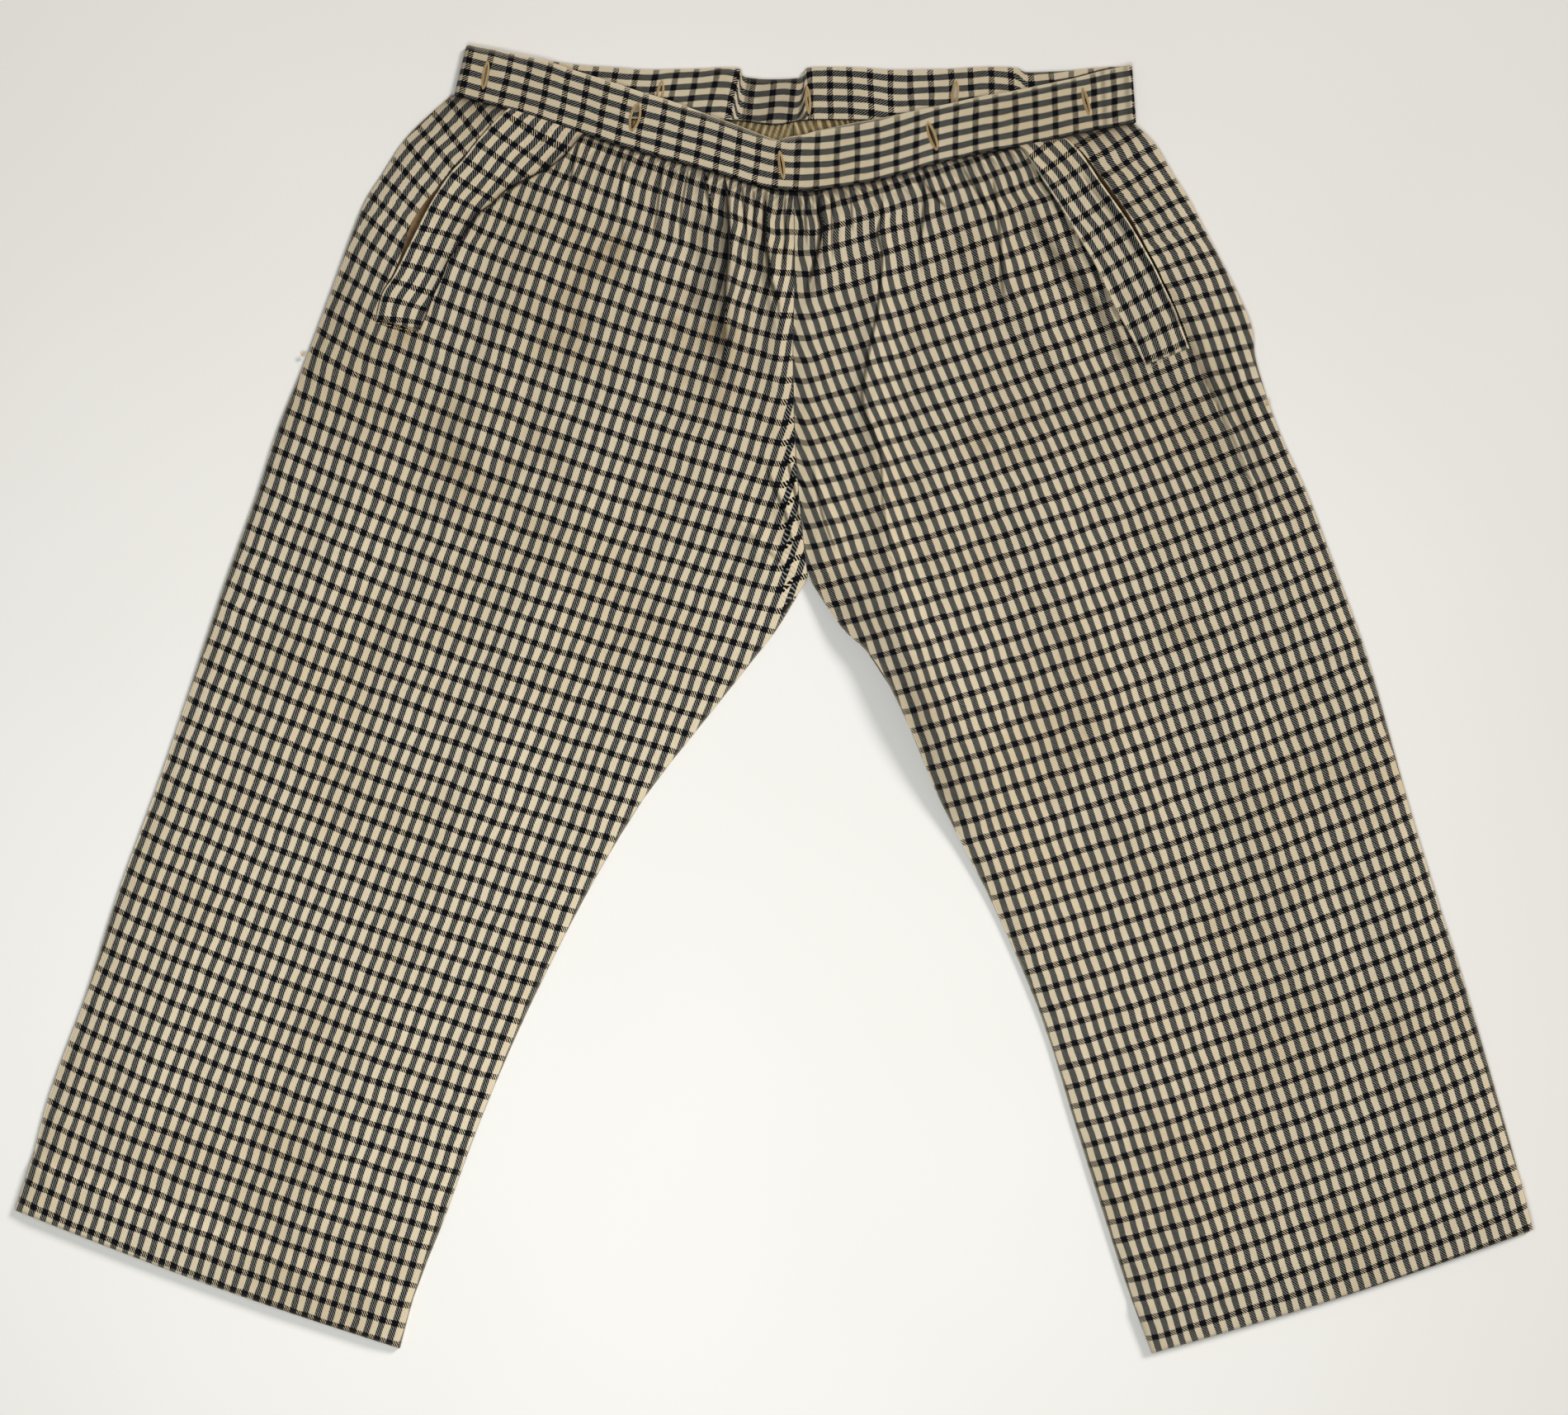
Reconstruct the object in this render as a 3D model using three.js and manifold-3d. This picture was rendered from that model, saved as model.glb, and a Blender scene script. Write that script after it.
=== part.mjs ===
// Cropped wide-leg trousers in checked cotton twill, laid flat on their back with the legs spread.
// Millimetres. +X is the wearer's left, +Y runs from the hems to the waist, +Z is up from the surface.
// The back panels rest on z = 0, the front panels lie on them, and the waistband is one folded ring
// whose front run dips below its back run. Every cloth wall is a sheet with a height worked out from
// the sizes below: an edge roll, a base loft, named folds and the gathers under the waistband.
import * as THREE from 'three';
import { mergeVertices } from 'three/addons/utils/BufferGeometryUtils.js';
import Module from 'manifold-3d';

// ---- driving sizes ----
const WALL = 1.5;             // one layer of twill with its nap
const HEM_WALL = 2.6;         // the turned-up hem, two layers
const HEM_DEPTH = 30;
const SEAM_GAP = 0.3;
const BAND_WALL = 2.0;        // doubled waistband
const BAND_REST = BAND_WALL + SEAM_GAP;
const BAND_LIFT = 1.3;        // the front run rides higher where the back gathers lie under it
const WELT_WALL = 1.6;
const FACING_WALL = 1.0;
const RISE = 222;             // waist seam to crotch along a panel
const LEG = 532;              // crotch to hem along a panel
const BASE_LOFT = 3.0;        // air under a front panel, away from its edges
const EDGE_ROLL = 8;          // how far in from an edge the front panel rolls down
const FRONT_GATHER = 2.0;     // height of a gather at the front waist seam
const BACK_GATHER = 1.1;
const LIFT_HEIGHT = 12;       // both layers stand off the surface along the right inseam
const LIFT_REACH = 45;
const LIFT_LENGTH = 72;
const CUT_TOP = 60;           // a cutting prism's top, above everything

const TWILL = { color: 0xa89a80, roughness: 0.92, metalness: 0 };
const TWILL_BACK = { color: 0x9c8f77, roughness: 0.94, metalness: 0 };
const BAND_TWILL = { color: 0xa8977a, roughness: 0.92, metalness: 0 };
const WELT_TWILL = { color: 0x99907f, roughness: 0.9, metalness: 0 };
const FACING_TAN = { color: 0xb59a72, roughness: 0.95, metalness: 0 };

// ---- outlines: a row for each point that bends the edge ----
const CENTRE_SEAM = [
  { x: 12, y: 307.5 }, { x: 12.5, y: 258.5 }, { x: 11.5, y: 203.5 },
  { x: 13.5, y: 143.5 }, { x: 17, y: 103.5 }, { x: 20.5, y: 73.5 },
];
const SIDE_SEAM = {
  left: [
    { x: -196, y: 363 }, { x: -214.5, y: 347.5 }, { x: -225.5, y: 335.5 }, { x: -237, y: 317.5 },
    { x: -246, y: 303.5 }, { x: -254.5, y: 283.5 }, { x: -269, y: 243.5 }, { x: -284, y: 203.5 },
    { x: -300, y: 163.5 }, { x: -313, y: 123.5 }, { x: -334.5, y: 63.5 }, { x: -367.5, y: -36.5 },
    { x: -396.5, y: -116.5 }, { x: -415.5, y: -176.5 }, { x: -437.5, y: -236.5 },
    { x: -448.5, y: -276.5 }, { x: -459, y: -309 },
  ],
  right: [
    { x: 218, y: 347.5 }, { x: 230.5, y: 335.5 }, { x: 241.5, y: 317.5 }, { x: 250.5, y: 303.5 },
    { x: 261, y: 283.5 }, { x: 281.5, y: 243.5 }, { x: 289.5, y: 223.5 }, { x: 292, y: 203.5 },
    { x: 305, y: 163.5 }, { x: 323, y: 123.5 }, { x: 338, y: 83.5 }, { x: 359.5, y: 23.5 },
    { x: 382, y: -56.5 }, { x: 400, y: -116.5 }, { x: 419, y: -176.5 }, { x: 442, y: -256.5 },
    { x: 453, y: -296.5 }, { x: 459, y: -321 },
  ],
};
const INSEAM = {
  left: [
    { x: 20.5, y: 73.5 }, { x: 2.5, y: 43.5 }, { x: -13, y: 23.5 }, { x: -45, y: -16.5 },
    { x: -76.5, y: -56.5 }, { x: -101.5, y: -96.5 }, { x: -123.5, y: -136.5 },
    { x: -153, y: -196.5 }, { x: -178.5, y: -256.5 }, { x: -200.5, y: -316.5 },
    { x: -216.5, y: -356.5 }, { x: -226.5, y: -392.5 },
  ],
  right: [
    { x: 20.5, y: 73.5 }, { x: 40.5, y: 43.5 }, { x: 60.5, y: 23.5 }, { x: 81.5, y: -16.5 },
    { x: 98, y: -56.5 }, { x: 118.5, y: -96.5 }, { x: 138.5, y: -136.5 },
    { x: 163.5, y: -196.5 }, { x: 182, y: -256.5 }, { x: 201, y: -316.5 },
    { x: 214, y: -356.5 }, { x: 228.5, y: -395.5 },
  ],
};
const CROTCH_SHARE = { left: 0.27, right: 0.255 };   // share of the side seam above the crotch row
const HEM_SAG = { left: 3, right: 3 };                // the hem bows a little below its chord

const BAND_EDGES = {
  frontTop: [
    { x: -184, y: 395.5 }, { x: -149, y: 388.5 }, { x: -119, y: 379.5 }, { x: -69, y: 363.5 },
    { x: -34, y: 351 }, { x: 3.5, y: 338.5 }, { x: 56, y: 349.5 }, { x: 106, y: 360 },
    { x: 156, y: 370 }, { x: 193.5, y: 378.5 }, { x: 214.5, y: 383.5 },
  ],
  frontBottom: [
    { x: -191.5, y: 365 }, { x: -149, y: 353.5 }, { x: -119, y: 343.5 }, { x: -89, y: 333.5 },
    { x: -44, y: 321 }, { x: 6, y: 308 }, { x: 56, y: 312.5 }, { x: 106, y: 326 },
    { x: 156, y: 336 }, { x: 191, y: 343.5 }, { x: 217, y: 348.5 },
  ],
  backTop: [
    { x: -184, y: 395.5 }, { x: -149, y: 388.5 }, { x: -119, y: 384 }, { x: -69, y: 381 },
    { x: -24, y: 382 }, { x: -16.5, y: 376.5 }, { x: 16, y: 376 }, { x: 23.5, y: 382.5 },
    { x: 81, y: 381 }, { x: 141, y: 382.5 }, { x: 156, y: 379.5 }, { x: 201, y: 382.5 },
    { x: 214.5, y: 383.5 },
  ],
  backBottom: [
    { x: -191.5, y: 365 }, { x: -149, y: 357.5 }, { x: -119, y: 353 }, { x: -69, y: 350 },
    { x: -24, y: 350 }, { x: 1, y: 347.5 }, { x: 23.5, y: 350.5 }, { x: 81, y: 350 },
    { x: 141, y: 351 }, { x: 181, y: 350.5 }, { x: 217, y: 348.5 },
  ],
};

// ---- gathers: where they run along the waist seam, from the side (0) to the centre (1) ----
const GATHERS = {
  left: { from: 0.25, count: 23, seed: 3 },
  right: { from: 0.34, count: 22, seed: 11 },
};
const GATHER_SHORTEST = 14;
const GATHER_LONGEST = 44;
const GATHER_END = 120;       // no gather runs further down than this

// ---- pockets: the welt's corners, the slit along its outer edge and the facing under the slit ----
const POCKETS = {
  left: {
    welt: [{ x: -167, y: 348 }, { x: -141.5, y: 334.5 }, { x: -213, y: 222 }, { x: -239, y: 229 }],
    slit: { fromX: -169, fromY: 345, toX: -237, toY: 235, width: 3.6, gape: 3.0 },
  },
  right: {
    welt: [{ x: 176, y: 334.5 }, { x: 151, y: 327 }, { x: 223.5, y: 202 }, { x: 251, y: 213.5 }],
    slit: { fromX: 178, fromY: 331.5, toX: 250, toY: 219, width: 3.0, gape: 2.4 },
  },
};
const FACING_REACH = 13;      // the facing runs this far to each side of the slit
const POCKET_LOFT = 2.4;      // the panel stands this much higher over the facing
const POCKET_SPREAD = 26;

// ---- the largest folds of the front: a row each, a soft ridge or trough along a bent line ----
const FOLDS = {
  left: [
    { height: 5.0, spread: 8, line: [[-21, 300], [-27, 255], [-30, 205]] },
    { height: -1.6, spread: 9, line: [[-42, 296], [-48, 240], [-52, 190]] },
    { height: 3.4, spread: 8, line: [[-2, 280], [4, 230], [2, 180]] },
    { height: 3.6, spread: 8, line: [[2, 128], [12, 104], [8, 84]] },
    { height: 3.0, spread: 9, line: [[-30, 118], [-8, 92], [-4, 62]] },
    { height: 3.2, spread: 15, line: [[-118, 325], [-160, 230], [-196, 130]] },
    { height: 3.0, spread: 18, line: [[-232, 190], [-275, 60], [-318, -60]] },
    { height: -1.8, spread: 15, line: [[-200, 190], [-235, 60], [-270, -60]] },
    { height: 3.2, spread: 20, line: [[-95, 190], [-150, 30], [-205, -130]] },
    { height: -1.6, spread: 18, line: [[-60, 150], [-110, 0], [-160, -110]] },
    { height: 2.6, spread: 18, line: [[-330, -90], [-372, -200], [-402, -300]] },
    { height: 2.8, spread: 20, line: [[-215, -160], [-262, -270], [-300, -370]] },
    { height: -1.4, spread: 16, line: [[-262, -140], [-310, -250], [-345, -340]] },
  ],
  right: [
    { height: 5.2, spread: 8, line: [[64, 300], [60, 190], [66, 113], [82, 23], [102, -50]] },
    { height: -1.8, spread: 9, line: [[80, 300], [78, 190], [84, 100], [102, 10]] },
    { height: -2.4, spread: 12, line: [[131, 308], [196, 238], [226, 188], [256, 148]] },
    { height: 3.2, spread: 12, line: [[108, 300], [160, 225], [196, 165]] },
    { height: -2.0, spread: 10, line: [[268, 250], [283, 190], [300, 140], [331, 54]] },
    { height: 2.8, spread: 11, line: [[252, 195], [282, 140], [312, 54]] },
    { height: 1.8, spread: 12, line: [[201, 8], [184, -34], [166, -76]] },
    { height: 3.2, spread: 20, line: [[150, 150], [196, 10], [240, -130]] },
    { height: -1.6, spread: 18, line: [[118, 130], [150, -10], [192, -130]] },
    { height: 2.8, spread: 20, line: [[250, 60], [300, -80], [345, -210]] },
    { height: 2.6, spread: 18, line: [[350, -60], [385, -190], [412, -300]] },
    { height: 2.8, spread: 18, line: [[210, -170], [246, -280], [268, -370]] },
    { height: -1.4, spread: 16, line: [[256, -150], [300, -260], [330, -350]] },
    { height: 2.6, spread: 9, line: [[26, 128], [30, 100], [36, 66]] },
  ],
};

// ---- buttonholes: upright slits through one run of the band ----
const BUTTONHOLE_LENGTH = 15;
const BUTTONHOLES = [
  { run: 'front', x: -174.5, y: 377, width: 2.0 },
  { run: 'front', x: -84, y: 351.5, width: 3.6 },
  { run: 'front', x: 5, y: 322.5, width: 1.4 },
  { run: 'front', x: 96, y: 340, width: 1.8 },
  { run: 'front', x: 188.5, y: 361, width: 1.4 },
  { run: 'back', x: -156, y: 373.5, width: 1.4 },
  { run: 'back', x: -69, y: 366, width: 1.4 },
  { run: 'back', x: 18.5, y: 361.5, width: 1.4 },
  { run: 'back', x: 109.5, y: 366, width: 1.4 },
  { run: 'back', x: 196, y: 366.5, width: 1.4 },
];

// ---- mesh density ----
const SIDE_COLUMNS = [0, 0.012, 0.035, 0.07];
const INNER_COLUMNS = [0.93, 0.965, 0.988, 1];
const FRONT_BODY_COLUMNS = 18;
const BACK_BODY_COLUMNS = 6;
const FINE_ROWS = [0, 5, 12];
const COARSE_ROWS = [22, 34];
const RISE_ROWS = 7;
const LEG_ROWS = 16;
const BACK_FINE_ROWS = [0, 9];

const wasm = await Module();
wasm.setup();

// ---- small helpers ----
const mix = (a, b, f) => a + (b - a) * f;
const smooth = (f) => {
  const c = Math.min(1, Math.max(0, f));
  return c * c * (3 - 2 * c);
};
const random = (n) => {
  const s = Math.sin(n * 127.1 + 311.7) * 43758.5453;
  return s - Math.floor(s);
};
const spline = (points) => new THREE.SplineCurve(points.map((p) => new THREE.Vector2(p.x, p.y)));
const sides = { left: -1, right: 1 };
const centreCurve = spline(CENTRE_SEAM);
const sideCurve = { left: spline(SIDE_SEAM.left), right: spline(SIDE_SEAM.right) };
const inseamCurve = { left: spline(INSEAM.left), right: spline(INSEAM.right) };

// y of a band edge above a given x
function edgeY(points, x) {
  const samples = spline(points).getPoints(120);
  const last = samples.length - 1;
  if (x <= samples[0].x) return samples[0].y;
  if (x >= samples[last].x) return samples[last].y;
  const i = samples.findIndex((p) => p.x > x);
  const a = samples[i - 1];
  const b = samples[i];
  return mix(a.y, b.y, (x - a.x) / (b.x - a.x));
}

// A panel point: u runs from the side (0) to the centre seam or inseam (1),
// v from the waist seam (0) through the crotch row (1) to the hem (2).
function panelPoint(side, layer, u, v) {
  const share = CROTCH_SHARE[side];
  const outer = sideCurve[side].getPointAt(v < 1 ? share * v : mix(share, 1, v - 1));
  const inner = v < 1 ? centreCurve.getPointAt(v) : inseamCurve[side].getPointAt(v - 1);
  inner.x += sides[side] * SEAM_GAP / 2 * (1 - smooth((v - 1) * 8));
  const p = outer.clone().lerp(inner, u);
  const top = edgeY(BAND_EDGES[layer === 'front' ? 'frontBottom' : 'backBottom'], p.x);
  const lowered = Math.max(0, 1 - v / 0.3);
  if (lowered > 0) {
    const first = mix(sideCurve[side].getPointAt(0).y, centreCurve.getPointAt(0).y, u);
    p.y += lowered * lowered * (top - SEAM_GAP - first);
  }
  p.y -= HEM_SAG[side] * Math.sin(Math.PI * u) * smooth((v - 1.7) / 0.3);
  return p;
}

const waistDistance = (v) => v * RISE;
const hemDistance = (v) => (2 - v) * LEG;

// distance from a point to a bent line, and how far along it the nearest point is
function nearLine(line, x, y) {
  let best = { distance: Infinity, along: 0 };
  line.slice(1).forEach(([bx, by], i) => {
    const [ax, ay] = line[i];
    const length2 = (bx - ax) ** 2 + (by - ay) ** 2;
    const f = Math.min(1, Math.max(0, ((x - ax) * (bx - ax) + (y - ay) * (by - ay)) / length2));
    const distance = Math.hypot(x - mix(ax, bx, f), y - mix(ay, by, f));
    if (distance < best.distance) best = { distance, along: (i + f) / (line.length - 1) };
  });
  return best;
}

function foldHeight(fold, x, y) {
  const { distance, along } = nearLine(fold.line, x, y);
  const ends = smooth(along / 0.25) * smooth((1 - along) / 0.25);
  return fold.height * Math.exp(-((distance / fold.spread) ** 2)) * (0.15 + 0.85 * ends);
}

// gather crests sit unevenly along the seam and run down different lengths
function gatherCrest(side, k) {
  const { from, count, seed } = GATHERS[side];
  const jitter = k === 0 || k === count ? 0 : (random(seed + k) - 0.5) * 0.5;
  return {
    u: mix(from, 1, (k + jitter) / count),
    size: 0.55 + 0.45 * random(seed * 7 + k),
    reach: mix(GATHER_SHORTEST, GATHER_LONGEST, random(seed * 13 + k) ** 2),
  };
}

function gatherHeight(side, u, down) {
  const { from, count } = GATHERS[side];
  if (u <= from || down >= GATHER_END) return 0;
  let k = Math.min(count - 1, Math.max(0, Math.floor((u - from) / (1 - from) * count)));
  if (k > 0 && gatherCrest(side, k).u > u) k -= 1;
  if (k < count - 1 && gatherCrest(side, k + 1).u < u) k += 1;
  const a = gatherCrest(side, k);
  const b = gatherCrest(side, k + 1);
  const f = Math.min(1, Math.max(0, (u - a.u) / (b.u - a.u)));
  const crest = mix(a.size * Math.exp(-down / a.reach), b.size * Math.exp(-down / b.reach), f);
  return crest * (0.5 + 0.5 * Math.cos(2 * Math.PI * f)) * smooth((GATHER_END - down) / 60);
}

// both layers stand off the surface along part of the right inseam
function groundLift(side, u, v, width) {
  if (side !== 'right' || v < 1) return 0;
  const inward = (1 - u) * width;
  const along = ((v - 1) * LEG - 95) / LIFT_LENGTH;
  const across = Math.max(0, 1 - inward / LIFT_REACH) ** 2;
  return LIFT_HEIGHT * across * Math.exp(-(along ** 2));
}

function wallAt(v) {
  return mix(HEM_WALL, WALL, smooth((hemDistance(v) - HEM_DEPTH) / 4));
}

function panelWidth(side, v) {
  return panelPoint(side, 'front', 0, v).distanceTo(panelPoint(side, 'front', 1, v));
}

function backLower(side, u, v) {
  const gathers = BACK_GATHER * gatherHeight(side, u, waistDistance(v) * 2);
  return groundLift(side, u, v, panelWidth(side, v)) + gathers;
}

function frontLower(side, u, v) {
  const width = panelWidth(side, v);
  const p = panelPoint(side, 'front', u, v);
  const lift = groundLift(side, u, v, width);
  const outward = u * width;
  const inward = v < 1 ? Infinity : (1 - u) * width;
  const edge = Math.min(outward, inward);
  const roll = 1 - Math.exp(-((edge / EDGE_ROLL) ** 2));
  const centre = v < 1 ? Math.exp(-(((1 - u) * width / 6) ** 2)) : 0;
  const gatherBase = BACK_GATHER * smooth((u - GATHERS[side].from + 0.05) / 0.05);
  const down = waistDistance(v);
  let loft = BASE_LOFT * (1 - 0.6 * centre) * mix(0.5, 1, smooth(down / 30));
  FOLDS[side].forEach((fold) => { loft += foldHeight(fold, p.x, p.y); });
  const { slit } = POCKETS[side];
  const slitLine = [[slit.fromX, slit.fromY], [slit.toX, slit.toY]];
  loft += POCKET_LOFT * Math.exp(-((nearLine(slitLine, p.x, p.y).distance / POCKET_SPREAD) ** 2));
  loft = Math.max(0.2, loft) * mix(1, 0.55, smooth((60 - hemDistance(v)) / 60)) * roll;
  const clear = 0.6 * (lift / LIFT_HEIGHT) * (1 - Math.exp(-edge / 5));
  const gathers = FRONT_GATHER * gatherHeight(side, u, down);
  return lift + wallAt(v) + SEAM_GAP + clear + loft + gathers + gatherBase * Math.exp(-down / 30);
}

// ---- rows of a panel: each has its place v and its columns u ----
function gatherColumns(side, steps) {
  const { from, count } = GATHERS[side];
  const side0 = [...SIDE_COLUMNS, mix(0.07, from, 0.35), mix(0.07, from, 0.7)];
  const waves = [];
  for (let k = 0; k < count; k += 1) {
    const a = gatherCrest(side, k).u;
    const b = gatherCrest(side, k + 1).u;
    for (let i = 0; i < steps; i += 1) waves.push(mix(a, b, i / steps));
  }
  return [...side0, ...waves, 1];
}

function bodyColumns(count) {
  const middle = [];
  for (let i = 1; i < count; i += 1) middle.push(mix(SIDE_COLUMNS[3], INNER_COLUMNS[0], i / count));
  return [...SIDE_COLUMNS, ...middle, ...INNER_COLUMNS];
}

function bodyPlaces() {
  const places = [];
  const start = (COARSE_ROWS[1] + 18) / RISE;
  for (let i = 0; i < RISE_ROWS; i += 1) places.push(mix(start, 1, i / RISE_ROWS));
  const hemTop = 2 - (HEM_DEPTH + 4) / LEG;
  for (let i = 0; i <= LEG_ROWS; i += 1) places.push(mix(1, hemTop, i / LEG_ROWS));
  return [...places, 2 - HEM_DEPTH / LEG, 2 - HEM_DEPTH / LEG / 2, 2];
}

function frontRows(side) {
  const rows = FINE_ROWS.map((down) => ({ v: down / RISE, us: gatherColumns(side, 4) }));
  COARSE_ROWS.forEach((down) => rows.push({ v: down / RISE, us: gatherColumns(side, 2) }));
  bodyPlaces().forEach((v) => rows.push({ v, us: bodyColumns(FRONT_BODY_COLUMNS) }));
  return rows;
}

function backRows(side) {
  const rows = BACK_FINE_ROWS.map((down) => ({ v: down / RISE, us: gatherColumns(side, 2) }));
  bodyPlaces().forEach((v) => rows.push({ v, us: bodyColumns(BACK_BODY_COLUMNS) }));
  return rows;
}

// triangles between two rows whose column counts may differ
function zip(upper, lower, firstUpper, firstLower) {
  const triangles = [];
  let i = 0;
  let j = 0;
  while (i < upper.length - 1 || j < lower.length - 1) {
    const canUpper = i < upper.length - 1;
    const canLower = j < lower.length - 1;
    if (canUpper && (!canLower || upper[i + 1] <= lower[j + 1])) {
      triangles.push([firstUpper + i, firstUpper + i + 1, firstLower + j]);
      i += 1;
    } else {
      triangles.push([firstUpper + i, firstLower + j + 1, firstLower + j]);
      j += 1;
    }
  }
  return triangles;
}

// a closed cloth wall over rows of points, from its lower and upper heights
function clothWall(side, layer, rows, lowerAt, upperAt) {
  const low = [];
  const high = [];
  const firsts = [];
  rows.forEach(({ v, us }) => {
    firsts.push(low.length);
    us.forEach((u) => {
      const p = panelPoint(side, layer, u, v);
      low.push([p.x, p.y, lowerAt(u, v)]);
      high.push([p.x, p.y, upperAt(u, v)]);
    });
  });
  const n = low.length;
  const faces = [];
  for (let r = 0; r + 1 < rows.length; r += 1) {
    zip(rows[r].us, rows[r + 1].us, firsts[r], firsts[r + 1]).forEach(([a, b, c]) => {
      faces.push([a, c, b], [a + n, b + n, c + n]);
    });
  }
  const rim = [];
  rows[0].us.forEach((u, i) => rim.push(firsts[0] + i));
  for (let r = 1; r < rows.length; r += 1) rim.push(firsts[r] + rows[r].us.length - 1);
  const lastRow = rows.length - 1;
  for (let i = rows[lastRow].us.length - 2; i >= 0; i -= 1) rim.push(firsts[lastRow] + i);
  for (let r = rows.length - 2; r > 0; r -= 1) rim.push(firsts[r]);
  rim.forEach((a, i) => {
    const b = rim[(i + 1) % rim.length];
    faces.push([a, b, a + n], [b, b + n, a + n]);
  });
  return closedGeometry([...low, ...high], faces);
}

function closedGeometry(points, faces) {
  let volume = 0;
  faces.forEach(([a, b, c]) => {
    const [p, q, r] = [points[a], points[b], points[c]].map((v) => new THREE.Vector3(...v));
    volume += p.dot(q.cross(r));
  });
  const index = faces.flatMap(([a, b, c]) => (volume > 0 ? [a, b, c] : [a, c, b]));
  const geometry = new THREE.BufferGeometry();
  geometry.setAttribute('position', new THREE.Float32BufferAttribute(points.flat(), 3));
  geometry.setIndex(index);
  return geometry;
}

// ---- cutting and joining ----
function toSolid(geometry) {
  const bare = geometry.clone();
  bare.deleteAttribute('normal');
  bare.deleteAttribute('uv');
  const merged = mergeVertices(bare, 1e-4);
  const mesh = new wasm.Mesh({
    numProp: 3,
    vertProperties: new Float32Array(merged.attributes.position.array),
    triVerts: new Uint32Array(merged.index.array),
  });
  return new wasm.Manifold(mesh);
}

function toGeometry(solid) {
  const mesh = solid.getMesh();
  const geometry = new THREE.BufferGeometry();
  geometry.setAttribute('position', new THREE.BufferAttribute(mesh.vertProperties, 3));
  geometry.setIndex(new THREE.BufferAttribute(mesh.triVerts, 1));
  return geometry;
}

function prism(outline, bottom, top) {
  const shape = new THREE.Shape(outline.map((p) => new THREE.Vector2(p.x, p.y)));
  const geometry = new THREE.ExtrudeGeometry(shape, { depth: top - bottom, bevelEnabled: false });
  geometry.translate(0, 0, bottom);
  return toSolid(geometry);
}

// a lens from one end to the other, widest in the middle
function lens(ax, ay, bx, by, width) {
  const steps = 6;
  const length = Math.hypot(bx - ax, by - ay);
  const [nx, ny] = [-(by - ay) / length, (bx - ax) / length];
  const outline = [];
  const put = (f, turn) => {
    const half = width / 2 * Math.sin(Math.PI * f) ** 0.6 * turn;
    outline.push({ x: mix(ax, bx, f) + nx * half, y: mix(ay, by, f) + ny * half });
  };
  for (let i = 0; i < steps; i += 1) put(i / steps, 1);
  for (let i = steps; i > 0; i -= 1) put(i / steps, -1);
  return outline;
}

// ---- pieces ----
function frontPanel(side) {
  const lower = (u, v) => frontLower(side, u, v);
  const wall = clothWall(side, 'front', frontRows(side), lower, (u, v) => lower(u, v) + wallAt(v));
  const { slit } = POCKETS[side];
  const mouth = lens(slit.fromX, slit.fromY, slit.toX, slit.toY, slit.width);
  return toGeometry(toSolid(wall).subtract(prism(mouth, -1, CUT_TOP)));
}

function backPanel(side) {
  const lower = (u, v) => backLower(side, u, v);
  return clothWall(side, 'back', backRows(side), lower, (u, v) => lower(u, v) + wallAt(v));
}

// the welt lies on the panel's own points and gapes a little along the slit
function weltStrip(side) {
  const { welt, slit } = POCKETS[side];
  const line = [[slit.fromX, slit.fromY], [slit.toX, slit.toY]];
  const under = (u, v) => {
    const p = panelPoint(side, 'front', u, v);
    const { distance, along } = nearLine(line, p.x, p.y);
    const gape = slit.gape * Math.sin(Math.PI * along) * Math.exp(-((distance / 14) ** 2));
    return frontLower(side, u, v) + wallAt(v) + SEAM_GAP + gape;
  };
  const sheet = clothWall(side, 'front', frontRows(side), under, (u, v) => under(u, v) + WELT_WALL);
  return toGeometry(toSolid(sheet).intersect(prism(welt, -1, CUT_TOP)));
}

// the facing closes the slit from inside
function facingStrip(side) {
  const { slit } = POCKETS[side];
  const length = Math.hypot(slit.toX - slit.fromX, slit.toY - slit.fromY);
  const [dx, dy] = [(slit.toX - slit.fromX) / length, (slit.toY - slit.fromY) / length];
  const corner = (x, y, across) => ({ x: x - dy * across, y: y + dx * across });
  const outline = [
    corner(slit.fromX, slit.fromY, FACING_REACH), corner(slit.fromX, slit.fromY, -FACING_REACH),
    corner(slit.toX, slit.toY, -FACING_REACH), corner(slit.toX, slit.toY, FACING_REACH),
  ];
  const over = (u, v) => frontLower(side, u, v) - SEAM_GAP;
  const sheet = clothWall(side, 'front', frontRows(side), (u, v) => over(u, v) - FACING_WALL, over);
  return toGeometry(toSolid(sheet).intersect(prism(outline, -1, CUT_TOP)));
}

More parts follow.
